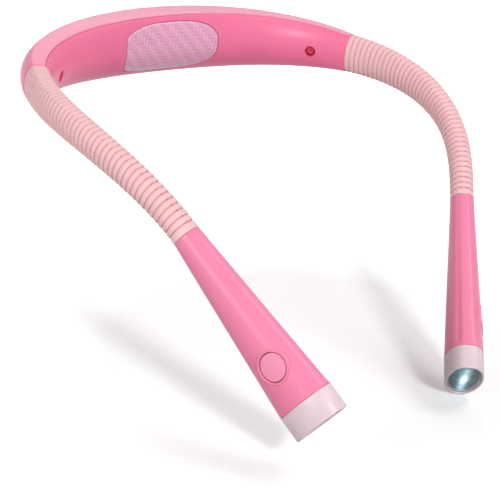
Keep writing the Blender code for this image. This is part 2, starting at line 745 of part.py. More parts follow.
def make_core(side, material):
    """The bendable wire through the arm, parted at each joint."""
    half_gap = CORE_JOINT_GAP / 2
    starts = [ARM_START - CORE_GRIP, *(arc + half_gap for arc in JOINT_ARCS)]
    ends = [*(arc - half_gap for arc in JOINT_ARCS), LAMP_START + CORE_GRIP]
    pieces = []
    for number, (start, end) in enumerate(zip(starts, ends), start=1):
        points = [side.point(arc, 0.0, CORE_RISE) for arc in np.linspace(start, end, CORE_POINTS)]
        pieces.append(make_tube(f"gooseneck_core_{side.name}_{number}", points, CORE_RADIUS, material))
    return pieces


def make_cable(side, places, material):
    """A lamp's cable, along its places in the neck, then through the arm to the control board."""
    end = CONTROL_START - FIT_GAP
    steps = math.ceil((end - PLUG_START) / CABLE_KNOT_STEP)
    arcs = [PLUG_START - 2 * CABLE_RADIUS, *np.linspace(PLUG_START, end, steps + 1)]
    held = [side.point(arc, 0.0, CABLE_RISE) for arc in arcs]
    points = smooth_points([*places, *held], CABLE_POINT_STEP)
    return make_tube(f"lamp_cable_{side.name}", points, CABLE_RADIUS, material)


def face_ring(side, radius, depth, wall=0.0):
    """A ring round the button's axis, this deep under the lamp's outer face, or its inner one."""
    points = []
    for index in range(ROUND_SIDES):
        angle = 2 * math.pi * index / ROUND_SIDES
        arc = BUTTON_ARC + radius * math.cos(angle)
        rise = BUTTON_RISE + radius * math.sin(angle)
        points.append(side.point(arc, half_width(shrunk(section_at(arc), wall), rise) - depth, rise))
    return points


def level_ring(side, radius, out):
    """A flat ring round the button's axis."""
    points = []
    for index in range(ROUND_SIDES):
        angle = 2 * math.pi * index / ROUND_SIDES
        arc = BUTTON_ARC + radius * math.cos(angle)
        points.append(side.point(arc, out, BUTTON_RISE + radius * math.sin(angle)))
    return points


def make_lamp_housing(side, material):
    """A tapered tube with a raised ring round its button hole and two posts for the board."""
    arcs = [float(arc) for arc in np.linspace(LAMP_START, BEZEL_START, LAMP_STATIONS)]
    outer = [ring_at(side, arc, outline(section_at(arc), HOUSING_ARCS)) for arc in arcs]
    inner = [
        ring_at(side, arc, outline(shrunk(section_at(arc), LAMP_WALL), HOUSING_ARCS))
        for arc in reversed(arcs)
    ]
    housing = make_solid(f"lamp_housing_{side.name}", outer + inner, material, hoop=True)
    hole_radius = BUTTON_RADIUS + FIT_GAP
    rim_radius = hole_radius + RIM_WIDTH
    rim = [
        face_ring(side, BUTTON_RADIUS, LAMP_WALL / 2),
        face_ring(side, rim_radius, LAMP_WALL / 2),
        face_ring(side, rim_radius, -RIM_HEIGHT),
        face_ring(side, BUTTON_RADIUS, -RIM_HEIGHT),
    ]
    combine(housing, make_solid(f"button_rim_{side.name}", rim, None, hoop=True), "UNION")
    hole = [level_ring(side, hole_radius, out) for out in (PLUNGER_TOP, LAMP_WIDTH / 2 + CUT_OVERRUN)]
    combine(housing, make_solid(f"button_hole_cutter_{side.name}", hole, None), "DIFFERENCE")
    for number, arc in enumerate((CONTROL_START + CONTROL_POST_INSET, CONTROL_END - CONTROL_POST_INSET)):
        wall_middle = -half_width(section_at(arc), CONTROL_RISE) + LAMP_WALL / 2
        post = [(wall_middle, CONTROL_POST_RADIUS), (CONTROL_BACK - FIT_GAP, CONTROL_POST_RADIUS)]
        place = side.matrix(arc, 0.0, CONTROL_RISE)
        helper = make_round(f"board_post_{side.name}_{number}", place, post, None, SMALL_SIDES)
        combine(housing, helper, "UNION")
    return housing


def make_button(side, material):
    """The cap, curved like the lamp's face, with a flange behind the wall and a stem to the switch."""
    flange_radius = BUTTON_RADIUS + FIT_GAP + BUTTON_FLANGE
    flange_front = 2 * FIT_GAP
    flange_back = flange_front + BUTTON_FLANGE_THICKNESS
    stations = [
        (BUTTON_CENTRE, -BUTTON_PROUD, 0.0),
        (BUTTON_RADIUS, -BUTTON_PROUD, 0.0),
        (BUTTON_RADIUS, flange_front, LAMP_WALL),
        (flange_radius, flange_front, LAMP_WALL),
        (flange_radius, flange_back, LAMP_WALL),
        (BUTTON_STEM_RADIUS, flange_back, LAMP_WALL),
    ]
    rings = [face_ring(side, *station) for station in stations]
    rings.append(level_ring(side, BUTTON_STEM_RADIUS, STEM_END))
    return make_solid(f"button_cap_{side.name}", rings, material)


def make_control(side, looks):
    """The control board, and on it the tactile switch under the button's stem."""
    middle = (CONTROL_START + CONTROL_END) / 2
    place = side.matrix(middle, CONTROL_BACK + CONTROL_THICKNESS / 2, CONTROL_RISE)
    size = (CONTROL_LENGTH, CONTROL_THICKNESS, CONTROL_HEIGHT)
    board = make_block(f"control_board_{side.name}", place, size, looks["board"])
    reach = SWITCH_SIDE / 2
    corners = [math.radians(45 + 90 * step) for step in range(4)]
    square = [(reach * math.copysign(1, math.cos(a)), reach * math.copysign(1, math.sin(a))) for a in corners]
    disc = [(PLUNGER_RADIUS * math.cos(a), PLUNGER_RADIUS * math.sin(a)) for a in corners]
    stations = [(SWITCH_BASE, square), (SWITCH_TOP, square), (SWITCH_TOP, disc), (PLUNGER_TOP, disc)]
    place = side.matrix(BUTTON_ARC, 0.0, BUTTON_RISE)
    rings = [placed_ring(place, out, points) for out, points in stations]
    return [board, make_solid(f"tactile_switch_{side.name}", rings, looks["steel"])]


def front_ring(side, from_front, depth):
    """A ring of the lamp's section shrunk by a depth, this far behind the lamp's front."""
    arc = SIDE_LENGTH - from_front
    return ring_at(side, arc, outline(shrunk(section_at(arc), depth), HOUSING_ARCS))


def make_bezel(side, material):
    """The lamp's front ring, with a spigot in the housing and a seat behind the lens."""
    spigot = LAMP_WALL + FIT_GAP
    seam = BEZEL_LENGTH - FIT_GAP
    stations = [
        (0.0, BEZEL_EDGE),
        (BEZEL_EDGE, 0.0),
        (seam, 0.0),
        (seam, spigot),
        (BEZEL_LENGTH + SPIGOT_LENGTH, spigot),
        (BEZEL_LENGTH + SPIGOT_LENGTH, spigot + SPIGOT_WALL),
        (BEZEL_LENGTH, spigot + SPIGOT_WALL),
        (BEZEL_LENGTH - BEZEL_TAPER, BEZEL_WALL),
        (LENS_SEAT, BEZEL_WALL),
        (LENS_SEAT, BEZEL_RIM),
        (0.0, BEZEL_RIM),
    ]
    rings = [front_ring(side, *station) for station in stations]
    return make_solid(f"bezel_{side.name}", rings, material, hoop=True)


def make_lens(side, material):
    faces = (LENS_INSET, LENS_INSET + LENS_THICKNESS)
    rings = [front_ring(side, place, BEZEL_RIM + FIT_GAP) for place in faces]
    return make_solid(f"lens_{side.name}", rings, material)


def reflector_ring(side, share, wall):
    """A ring of the reflector, from its round throat at share 0 to the oval mouth at share 1."""
    swell = math.sqrt(share)
    mouth = outline(shrunk(LAMP_SECTION, BEZEL_WALL + FIT_GAP + wall), HOUSING_ARCS)
    throat = REFLECTOR_THROAT - wall
    points = []
    for out, up in mouth:
        angle = math.atan2(up - LED_RISE, out)
        round_out, round_up = throat * math.cos(angle), LED_RISE + throat * math.sin(angle)
        points.append((round_out + (out - round_out) * swell, round_up + (up - round_up) * swell))
    arc = SIDE_LENGTH - LENS_SEAT - REFLECTOR_DEPTH * (1 - share)
    return ring_at(side, arc, points)


def make_reflector(side, material):
    shares = [step / REFLECTOR_STEPS for step in range(REFLECTOR_STEPS + 1)]
    outside = [reflector_ring(side, share, 0.0) for share in shares]
    inside = [reflector_ring(side, share, REFLECTOR_WALL) for share in reversed(shares)]
    return make_solid(f"reflector_{side.name}", outside + inside, material, hoop=True)


def make_light_source(side, looks):
    """The LED on its board behind the reflector's throat, and the lead from the control board."""
    depth = LAMP_WALL + 2 * FIT_GAP + SPIGOT_WALL
    front = LENS_SEAT + REFLECTOR_DEPTH + FIT_GAP
    rings = [front_ring(side, place, depth) for place in (front, front + LED_BOARD_THICKNESS)]
    board = make_solid(f"led_board_{side.name}", rings, looks["steel"])
    led_size = (LED_HEIGHT, LED_SIDE, LED_SIDE)
    led_arc = SIDE_LENGTH - front + FIT_GAP + LED_HEIGHT / 2
    led = make_block(f"led_{side.name}", side.matrix(led_arc, 0.0, LED_RISE), led_size, looks["led"])
    arcs = np.linspace(CONTROL_END + FIT_GAP, SIDE_LENGTH - front - LED_BOARD_THICKNESS - FIT_GAP, 3)
    points = [side.point(arc, CONTROL_BACK + CONTROL_THICKNESS / 2, CONTROL_RISE) for arc in arcs]
    lead = make_tube(f"led_lead_{side.name}", points, LEAD_RADIUS, looks["red_lead"])
    return [board, led, lead]


def make_lamp(side, looks):
    """Everything that rides with the lamp but the sleeve's end and the core's."""
    clamp_end = LAMP_START + CORE_GRIP + CORE_RADIUS
    return [
        make_plug(f"core_clamp_{side.name}", side, LAMP_START, clamp_end, LAMP_WALL, looks["plastic"]),
        make_lamp_housing(side, looks["housing"]),
        make_bezel(side, looks["bezel"]),
        make_lens(side, looks["lens"]),
        make_reflector(side, looks["reflector"]),
        *make_light_source(side, looks),
        *make_control(side, looks),
    ]


def add_body(name, placement, parent=None):
    """An empty on a joint's axis, which carries the pieces that move with it."""
    body = bpy.data.objects.new(name, None)
    body.empty_display_size = JOINT_MARK
    bpy.context.scene.collection.objects.link(body)
    body.parent = parent
    body.matrix_world = placement
    bpy.context.view_layer.update()
    return body


def carry(body, pieces):
    """Parents pieces to a body where they stand."""
    for piece in pieces:
        piece.parent = body
        piece.matrix_parent_inverse = body.matrix_world.inverted()


def make_side(side, neck, looks):
    """One arm and its lamp: five stretches of sleeve and core, with a joint between each two."""
    bodies = [neck]
    for number, arc in enumerate(JOINT_ARCS, start=1):
        last = number == len(JOINT_ARCS)
        name = f"lamp_body_{side.name}" if last else f"arm_body_{side.name}_{number}"
        bodies.append(add_body(name, side.matrix(arc, 0.0, CORE_RISE), bodies[-1]))
    sleeves = make_sleeve(side, looks["sleeve"])
    for body, sleeve, core in zip(bodies, sleeves, make_core(side, looks["steel"])):
        carry(body, [sleeve, core])
    plug = make_plug(f"arm_plug_{side.name}", side, PLUG_START, ARM_START, NECK_WALL, looks["plastic"])
    carry(neck, [plug])
    carry(bodies[-1], make_lamp(side, looks))
    place = side.matrix(BUTTON_ARC, 0.0, BUTTON_RISE)
    button_body = add_body(f"button_body_{side.name}", place, bodies[-1])
    carry(button_body, [make_button(side, looks["button"])])


def route_points(side, anchor, route):
    return [side.point(anchor + distance, out, up) for distance, out, up in route]


def left_cable_places(left, right):
    """Up the cell's right end, over the cell and down to the left side's screw boss."""
    cell_end = CELL_LENGTH / 2
    places = route_points(right, cell_end, CLIMB_FROM_CELL)
    for share in OVER_CELL_SHARES:
        side = right if share > 0 else left
        places.append(side.point(abs(share) * cell_end, OVER_CELL_OUT, OVER_CELL_RISE))
    places += route_points(left, cell_end, [DESCENT_FROM_CELL])
    midway = (cell_end + DESCENT_FROM_CELL[0] + SCREW_ARC + DESCENT_TO_SCREW[0][0]) / 2
    places.append(left.point(midway, *DESCENT_MIDWAY))
    return places + route_points(left, SCREW_ARC, DESCENT_TO_SCREW)


def main():
    clear_scene()
    looks = make_materials()
    left = Side("left", -1.0, LEFT_SWEEP, LEFT_DROP, LEFT_TWIST)
    right = Side("right", 1.0, RIGHT_SWEEP, RIGHT_DROP, RIGHT_TWIST)
    neck = add_body("neck_body", Matrix())
    carry(neck, make_neck(left, right, looks) + make_electronics(right, looks))
    right_places = route_points(right, SCREW_ARC, RIGHT_CABLE_TO_SCREW)
    carry(neck, [make_cable(left, left_cable_places(left, right), looks["cable"])])
    carry(neck, [make_cable(right, right_places, looks["cable"])])
    for side in (left, right):
        make_side(side, neck, looks)


main()
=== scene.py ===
# %% [markdown]
# # A neck reading light
#
# The light hangs round the neck like a collar. A battery housing rests on the nape, two ribbed
# silicone arms come forward from it, and each ends in a tapered lamp with a push button.
# The packed model gives every place and every joint. This lesson dresses that model: it makes
# finer surfaces in numpy, finishes them with procedural materials, and lights them.
# Lengths are in metres, +Z is up, and the wearer faces -Y.

# %% Load the packed model
import math

import bmesh
import bpy
import numpy as np
from mathutils import Matrix, Vector


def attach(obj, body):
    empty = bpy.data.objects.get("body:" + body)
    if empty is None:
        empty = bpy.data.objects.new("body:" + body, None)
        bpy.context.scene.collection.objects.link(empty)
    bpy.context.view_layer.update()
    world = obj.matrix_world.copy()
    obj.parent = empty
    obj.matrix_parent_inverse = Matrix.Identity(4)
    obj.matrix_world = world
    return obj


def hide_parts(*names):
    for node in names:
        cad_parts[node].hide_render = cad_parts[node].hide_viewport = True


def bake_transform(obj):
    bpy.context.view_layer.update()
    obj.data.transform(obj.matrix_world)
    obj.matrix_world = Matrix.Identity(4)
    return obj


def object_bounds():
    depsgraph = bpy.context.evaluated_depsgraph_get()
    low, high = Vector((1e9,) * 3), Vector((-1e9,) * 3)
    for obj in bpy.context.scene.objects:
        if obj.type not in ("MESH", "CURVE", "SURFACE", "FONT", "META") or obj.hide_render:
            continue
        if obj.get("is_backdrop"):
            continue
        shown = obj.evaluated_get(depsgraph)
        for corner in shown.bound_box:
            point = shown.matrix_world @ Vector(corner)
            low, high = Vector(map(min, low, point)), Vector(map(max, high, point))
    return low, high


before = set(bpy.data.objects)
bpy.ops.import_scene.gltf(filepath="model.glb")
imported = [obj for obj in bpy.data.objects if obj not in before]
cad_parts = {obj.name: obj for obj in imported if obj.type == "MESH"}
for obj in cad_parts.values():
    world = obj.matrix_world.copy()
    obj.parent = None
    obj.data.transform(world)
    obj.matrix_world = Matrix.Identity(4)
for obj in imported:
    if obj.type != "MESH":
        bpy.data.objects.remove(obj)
cad_box = [[float(value) for value in corner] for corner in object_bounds()]
print("packed nodes:", len(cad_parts), "box:", np.round(cad_box, 4).tolist())

# %% [markdown]
# ## One centreline for each side
#
# On the real light one core runs from the nape to each lamp, and everything is threaded on it.
# It could be drawn as a Bezier curve by hand, but then the housing, the sleeve and the lamp would
# each need fitting to it. Here the line is defined by how fast it turns, which is how a bendable
# arm behaves, and a small frame of three directions is carried along it step by step.

# %% The lengths and turns of the centreline
NECK_HALF = 0.0898
ARM_LENGTH = 0.1077
LAMP_LENGTH = 0.0793
BEZEL_LENGTH = 0.0096
LAMP_START = NECK_HALF + ARM_LENGTH
SIDE_LENGTH = LAMP_START + LAMP_LENGTH
BEZEL_START = SIDE_LENGTH - BEZEL_LENGTH
NECK_BEND = math.radians(65.4)
MIDDLE_BEND_SHARE = 0.40
MIDDLE_BEHIND_PAD = 0.00955
ROUTE_STEPS = 560
# Degrees that an arm turns over its length: Bezier values from root to tip for the inward sweep
# and for the drop, and the roll about the line at its two ends.
TURNS = {
    "left": {
        "sign": -1.0, "sweep": (70.7, 37.3, 29.0, 8.7), "drop": (8.6, 32.0, 46.0, 83.2),
        "roll": (-46.7, 57.9),
    },
    "right": {
        "sign": 1.0, "sweep": (58.1, 95.0, 99.4, -5.7), "drop": (30.9, 13.0, 24.3, 47.8),
        "roll": (47.8, -12.4),
    },
}
SIDES = ("left", "right")


def arm_share(arcs):
    """0 where the arm leaves the housing and 1 where it meets the lamp."""
    return np.clip((arcs - NECK_HALF) / ARM_LENGTH, 0, 1)


def cubic(controls, share):
    """The Bezier polynomial of four control values: sum of binomial weights times the values."""
    rest = 1 - share
    weights = (rest**3, 3 * rest**2 * share, 3 * rest * share**2, share**3)
    return sum(weight * value for weight, value in zip(weights, controls))


def turn_rates(turns, arcs):
    """Inward, downward and rolling turn in radians a metre. The housing bends as a parabola of the
    distance from its middle, the arm by its cubics, and the lamp is straight."""
    from_middle, share = arcs / NECK_HALF, arm_share(arcs)
    bend_share = MIDDLE_BEND_SHARE + 3 * (1 - MIDDLE_BEND_SHARE) * from_middle**2
    first, last = turns["roll"]
    arm = (cubic(turns["sweep"], share), cubic(turns["drop"], share), first + (last - first) * share)
    in_arm = (arcs >= NECK_HALF) & (arcs < LAMP_START)
    inward, down, roll = (np.where(in_arm, np.radians(rate) / ARM_LENGTH, 0.0) for rate in arm)
    return np.where(arcs < NECK_HALF, NECK_BEND / NECK_HALF * bend_share, inward), down, roll


print("length of one side:", round(SIDE_LENGTH * 1000, 1), "mm")

# %% Carrying a frame along the line
def turned(vectors, spin):
    """Rodrigues' formula: v cos a + (k x v) sin a + k (k . v)(1 - cos a), where spin = a k."""
    angle = max(np.linalg.norm(spin), 1e-12)
    axis = spin / angle
    cosine = math.cos(angle)
    along_axis = (vectors @ axis)[:, None] * axis
    return vectors * cosine + np.cross(axis, vectors) * math.sin(angle) + along_axis * (1 - cosine)


def centreline(turns):
    """Arcs, and at each the origin and the along, out and up directions. Each step turns the frame
    by the rates times the step, and moves it along the direction half-way through that turn."""
    step = SIDE_LENGTH / ROUTE_STEPS
    inward, down, roll = turn_rates(turns, (np.arange(ROUTE_STEPS) + 0.5) * step)
    origin = np.array([0.0, MIDDLE_BEHIND_PAD, 0.0])
    axes = np.array([[turns["sign"], 0.0, 0.0], [0.0, 1.0, 0.0], [0.0, 0.0, 1.0]])
    rows = [np.vstack([origin, axes]).ravel()]
    for index in range(ROUTE_STEPS):
        along, out, up = axes
        spin = np.cross(along, -out) * inward[index] + np.cross(along, -up) * down[index]
        spin = (spin + along * roll[index] * turns["sign"]) * step
        origin = origin + turned(axes[:1], spin / 2)[0] * step
        axes = turned(axes, spin)
        rows.append(np.vstack([origin, axes]).ravel())
    return np.linspace(0, SIDE_LENGTH, ROUTE_STEPS + 1), np.array(rows)


LINES = {side: centreline(TURNS[side]) for side in SIDES}
for side in SIDES:
    print(side, "lamp front at", np.round(LINES[side][1][-1][:3], 4).tolist())

# %% Placing points beside the centreline
def frames(side, arcs):
    """Origin, along, out and up at any arcs, read between the steps and made unit length again."""
    steps, table = LINES[side]
    rows = np.stack([np.interp(arcs, steps, column) for column in table.T], axis=-1)
    origin, *axes = (rows[..., start:start + 3] for start in (0, 3, 6, 9))
    return origin, *(axis / np.linalg.norm(axis, axis=-1, keepdims=True) for axis in axes)


def place(side, arcs, out, up):
    """Points = origin(arc) + out * outward direction + up * upward direction, as whole arrays."""
    arcs, out, up = np.broadcast_arrays(np.asarray(arcs, float), out, up)
    origin, _, outward, upward = frames(side, arcs)
    return origin + outward * out[..., None] + upward * up[..., None]


def place_across(along, out, up):
    """Points on the housing, where along is counted from its middle, negative to the left."""
    left, right = (place(side, np.abs(along), out, up) for side in SIDES)
    return np.where((along < 0)[..., None], left, right)


print("arms leave the housing at", [np.round(place(side, NECK_HALF, 0, 0), 4).tolist() for side in SIDES])

# %% [markdown]
# ## One section for everything
#
# The housing, the sleeves and the lamps share one cross-section: a tall oval whose top is cut flat
# between two ridges. It only changes size on its way. It could be sketched and lofted with a curve
# tool, but a formula gives the ridge the same small radius all along, and lets a groove or a
# rounded edge be written as a depth under the surface.

# %% The section's sizes
SECTION_SIZES = {
    "width": {"middle": 0.0185, "root": 0.0104, "tip": 0.0095, "lamp": 0.0145, "fullness": 5.2},
    "flat": {"middle": 0.0115, "root": 0.0047, "tip": 0.0026, "lamp": 0.0044, "fullness": 1.9},
    "crown": {"middle": 0.0139, "root": 0.0070, "tip": 0.0051, "lamp": 0.0115, "fullness": 2.0},
    "keel": {"middle": 0.0125, "root": 0.0094, "tip": 0.0059, "lamp": 0.0125, "fullness": 2.0},
}


def lamp_share(arcs):
    """0 where the lamp begins and 1 at its front ring."""
    return np.clip((arcs - LAMP_START) / (BEZEL_START - LAMP_START), 0, 1)


def sizes_at(arcs):
    """Width, flat, crown and keel: a power taper along the housing, then straight tapers."""
    neck, arm, lamp = np.clip(arcs / NECK_HALF, 0, 1), arm_share(arcs), lamp_share(arcs)
    found = []
    for size in SECTION_SIZES.values():
        in_neck = size["root"] + (size["middle"] - size["root"]) * (1 - neck ** size["fullness"])
        in_arm = size["root"] + (size["tip"] - size["root"]) * arm
        in_lamp = size["tip"] + (size["lamp"] - size["tip"]) * lamp
        past_neck = np.where(arcs <= LAMP_START, in_arm, in_lamp)
        found.append(np.where(arcs <= NECK_HALF, in_neck, past_neck))
    return found


def ridge_angle(arcs):
    """Where the flat top begins: cos(angle) = flat / width."""
    width, flat, _, _ = sizes_at(arcs)
    return np.arccos(flat / width)


def uncut(arcs, crown):
    """How high the oval would reach without the cut: crown / sqrt(1 - (flat / width)^2)."""
    width, flat, _, _ = sizes_at(arcs)
    return crown / np.sqrt(1 - (flat / width) ** 2)


for name, arc in (("nape", 0.0), ("root", NECK_HALF), ("tip", LAMP_START), ("lamp", BEZEL_START)):
    print(name, "section in mm:", [round(float(size) * 1000, 1) for size in sizes_at(arc)])

# %% The section's outline
RIDGE_ROUNDING, RIDGE_AT_RING = 0.00018, 0.00120
COVE_AT_ARM, COVE_AT_FRONT = 0.00012, 0.00050
COVE_BELOW, COVE_SPREAD, COVE_RUN_OUT = 0.24, 0.15, 0.04
CROWDING = 1.8


def from_top(angles):
    """How far an angle is from straight up, either way round."""
    return np.abs(np.mod(angles + np.pi / 2, 2 * np.pi) - np.pi)


def cove(arcs, angles):
    """The shallow hollow under each ridge of a lamp: a Gaussian of the angle from its middle, which
    deepens in a straight line along the lamp and runs out just before the front ring."""
    share = lamp_share(arcs)
    middle = np.pi / 2 - ridge_angle(arcs) + COVE_BELOW
    deepest = np.where(arcs < LAMP_START, 0.0, COVE_AT_ARM + (COVE_AT_FRONT - COVE_AT_ARM) * share)
    deepest = deepest * np.clip((1 - share) / COVE_RUN_OUT, 0, 1)
    return deepest * np.exp(-(((from_top(angles) - middle) / COVE_SPREAD) ** 2))


def section(arcs, angles, depth=0.0):
    """(out, up) at these angles, counted from the outward side. out = half width * cos, up = reach *
    sin above and keel * sin below, and a smooth minimum with the crown cuts the top flat:
    min(a, b) = (a + b - sqrt((a - b)^2 + k^2)) / 2, where k grows towards the front ring."""
    width, _, crown, keel = sizes_at(arcs)
    crown, keel, half = crown - depth, keel - depth, width / 2 - depth
    hollow = 1 - cove(arcs, angles) / half
    high = uncut(arcs, crown) * np.sin(angles) * hollow
    rounding = RIDGE_ROUNDING + (RIDGE_AT_RING - RIDGE_ROUNDING) * lamp_share(arcs)
    cut = (high + crown - np.sqrt((high - crown) ** 2 + rounding**2)) / 2
    return half * np.cos(angles) * hollow, np.where(np.sin(angles) > 0, cut, keel * np.sin(angles))


def side_face(arcs, rise, depth=0.0):
    """How far out the section's side lies at this height: half width * sqrt(1 - (rise / reach)^2)."""
    width, _, crown, keel = sizes_at(arcs)
    reach = np.where(rise > 0, uncut(arcs, crown - depth), keel - depth)
    return (width / 2 - depth) * np.sqrt(np.clip(1 - (rise / reach) ** 2, 0, 1))


def round_angles(arcs, slope=12, flat=8, below=36):
    """Angles right round the section for each arc, closer together beside the two ridges."""
    ridge = ridge_angle(arcs)
    steps = np.linspace(0, 1, slope, endpoint=False)
    climb, fall = 1 - (1 - steps) ** CROWDING, steps**CROWDING
    across = (1 - np.cos(np.pi * np.linspace(0, 1, flat, endpoint=False))) / 2
    over = ridge + (np.pi - 2 * ridge) * across
    under = np.pi * (1 + np.linspace(0, 1, below, endpoint=False))
    under = np.broadcast_to(under, (len(arcs), below))
    return np.hstack([ridge * climb, over, np.pi - ridge * (1 - fall), under])


print("ridge at the nape:", round(math.degrees(ridge_angle(0.0)), 1), "degrees above the side")

# %% [markdown]
# ## From a grid of points to a mesh
#
# Every piece below is a grid: rows of points along it, columns of points round it. The grid can
# close on itself in one direction, as a tube does, or in both, as a ring does. A tube's two ends
# get a cap, so that each piece is one closed solid.

# %% Grids and meshes
SHARP_ANGLE = math.radians(38)


def around(count):
    """This many angles, evenly spaced right round."""
    return np.linspace(0, 2 * np.pi, count, endpoint=False)


def quads(rows, columns, ring):
    """Corner numbers of all the grid's four-sided faces, worked out in one go."""
    row = np.arange(rows if ring else rows - 1)[:, None]
    column = np.arange(columns)[None, :]
    next_row, next_column = (row + 1) % rows, (column + 1) % columns
    corners = (row * columns + column, row * columns + next_column)
    corners += (next_row * columns + next_column, next_row * columns + column)
    return np.stack(np.broadcast_arrays(*corners), axis=-1).reshape(-1, 4)


def smooth(mesh):
    """Shades a mesh smooth, apart from its sharp edges."""
    mesh.shade_smooth()
    mesh.set_sharp_from_angle(angle=SHARP_ANGLE)


def make_grid_piece(name, points, ring=False):
    """A closed mesh, its faces outwards, through a rows x columns x 3 array of points."""
    rows, columns, _ = points.shape
    faces = quads(rows, columns, ring).tolist()
    if not ring:
        faces += [list(range(columns)), list(range((rows - 1) * columns, rows * columns))]
    mesh = bpy.data.meshes.new(name)
    mesh.from_pydata(points.reshape(-1, 3).tolist(), [], faces)
    work = bmesh.new()
    work.from_mesh(mesh)
    bmesh.ops.recalc_face_normals(work, faces=work.faces)
    work.to_mesh(mesh)
    work.free()
    smooth(mesh)
    piece = bpy.data.objects.new(name, mesh)
    bpy.context.scene.collection.objects.link(piece)
    return piece


print("a tube of 3 by 4 points has", len(quads(3, 4, False)), "faces and two caps")

# %% Storing, carving and finishing
pieces_made = []


def store(piece, name, values):
    """Keeps one number a point on the mesh, for its material to read."""
    attribute = piece.data.attributes.new(name, "FLOAT", "POINT")
    attribute.data.foreach_set("value", np.ravel(values).astype(np.float32))


def carve(piece, tool, operation="DIFFERENCE"):
    """A Boolean with a helper, applied at once, after which the helper is deleted."""
    modifier = piece.modifiers.new("carve", "BOOLEAN")
    modifier.operation, modifier.object, modifier.solver = operation, tool, "EXACT"
    evaluated = piece.evaluated_get(bpy.context.evaluated_depsgraph_get())
    carved = bpy.data.meshes.new_from_object(evaluated)
    piece.modifiers.clear()
    piece.data = carved
    smooth(carved)
    bpy.data.objects.remove(tool, do_unlink=True)


def finish_piece(piece, look, body=None, nodes=()):
    """Gives a piece its material, its slot in the record, its body and the nodes it stands for."""
    piece.data.materials.clear()
    piece.data.materials.append(look)
    if body:
        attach(piece, body)
    if nodes:
        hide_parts(*nodes)
    pieces_made.append(piece.name)
    return piece


print("edges over", round(math.degrees(SHARP_ANGLE)), "degrees stay sharp")

# %% [markdown]
# ## Materials
#
# Each finish is a Principled shader whose colour, roughness and bump come from procedural
# textures. They read Object coordinates in metres, so a grain of 0.3 mm is a scale of about 3000,
# or an attribute stored on the piece where the pattern has to follow its surface. Wiring nodes
# takes many lines, so a small class gives the ones that the finishes share a short call each.

# %% Short calls for shader nodes
class Nodes:
    """A node tree and the nodes that the finishes below are made of."""

    def __init__(self, tree):
        self.nodes, self.links = tree.nodes, tree.links

    def join(self, value, socket):
        """Links an output to a socket, or writes a number, a vector or a colour into it."""
        if isinstance(value, bpy.types.NodeSocket):
            self.links.new(value, socket)
        elif socket.type == "RGBA":
            socket.default_value = (*value, 1.0)
        else:
            socket.default_value = value

    def add(self, kind, inputs=(), **settings):
        """A node with its settings; inputs are (socket, value or output)."""
        node = self.nodes.new(kind)
        for name, value in settings.items():
            setattr(node, name, value)
        for name, value in inputs:
            self.join(value, node.inputs[name])
        return node

    def maths(self, operation, *values):
        """One step of arithmetic, such as MULTIPLY or POWER, on numbers or outputs."""
        return self.add("ShaderNodeMath", enumerate(values), operation=operation).outputs[0]

    def vector(self, kind, *values, output=0):
        """One step of arithmetic on vectors."""
        return self.add("ShaderNodeVectorMath", enumerate(values), operation=kind).outputs[output]

    def place(self):
        """Object coordinates, in metres."""
        return self.add("ShaderNodeTexCoord").outputs["Object"]

    def attribute(self, name):
        """The number that store() kept under this name."""
        return self.add("ShaderNodeAttribute", attribute_name=name).outputs["Fac"]

    def noise(self, scale, detail=3.0, where=None):
        """A noise from 0 to 1 whose grains are about 1 / scale metres wide."""
        inputs = [("Vector", where or self.place()), ("Scale", scale), ("Detail", detail)]
        return self.add("ShaderNodeTexNoise", inputs).outputs["Fac"]

    def ramp(self, value, low, high, first, last):
        """Maps value from low..high to first..last."""
        ends = [("From Min", low), ("From Max", high), ("To Min", first), ("To Max", last)]
        return self.add("ShaderNodeMapRange", [("Value", value), *ends]).outputs["Result"]

    def mix(self, share, first, last):
        """A colour between two."""
        inputs = [(0, share), (6, first), (7, last)]
        return self.add("ShaderNodeMix", inputs, data_type="RGBA").outputs[2]

    def patches(self, scale, first, last, low=0.35, high=0.65):
        """A colour that wanders between two as a noise of this scale does."""
        return self.mix(self.ramp(self.noise(scale), low, high, 0.0, 1.0), first, last)

    def rays(self, scale, detail):
        """Streaks that change with the stored angle turn only, so that they run out from the middle."""
        turn = self.add("ShaderNodeCombineXYZ", [("X", self.attribute("turn"))]).outputs[0]
        return self.ramp(self.noise(scale, detail, turn), 0.35, 0.65, 0.35, 1.0)


print("short calls:", [name for name in vars(Nodes) if not name.startswith("_")])

# %% A material to start from
class Look(Nodes):
    """A material that starts from its Principled shader."""

    def __init__(self, name):
        self.material = bpy.data.materials.new(name)
        self.material.use_nodes = True
        super().__init__(self.material.node_tree)
        self.shader = self.nodes["Principled BSDF"]

    def set(self, **values):
        """Constants straight on the shader's own sockets."""
        for name, value in values.items():
            self.join(value, self.shader.inputs[name.replace("_", " ").title().replace("Ior", "IOR")])
        return self

    def feed(self, name, socket):
        """Links an output to one of the shader's sockets."""
        self.links.new(socket, self.shader.inputs[name])
        return self

    def bump(self, height, distance, strength=1.0):
        """A bump of this height in metres."""
        inputs = [("Height", height), ("Distance", distance), ("Strength", strength)]
        return self.feed("Normal", self.add("ShaderNodeBump", inputs).outputs["Normal"])


def shaded(colour, share):
    """The colour at a share of its brightness."""
    return tuple(value * share for value in colour)


print("half of a grey:", shaded((0.8, 0.8, 0.8), 0.5))
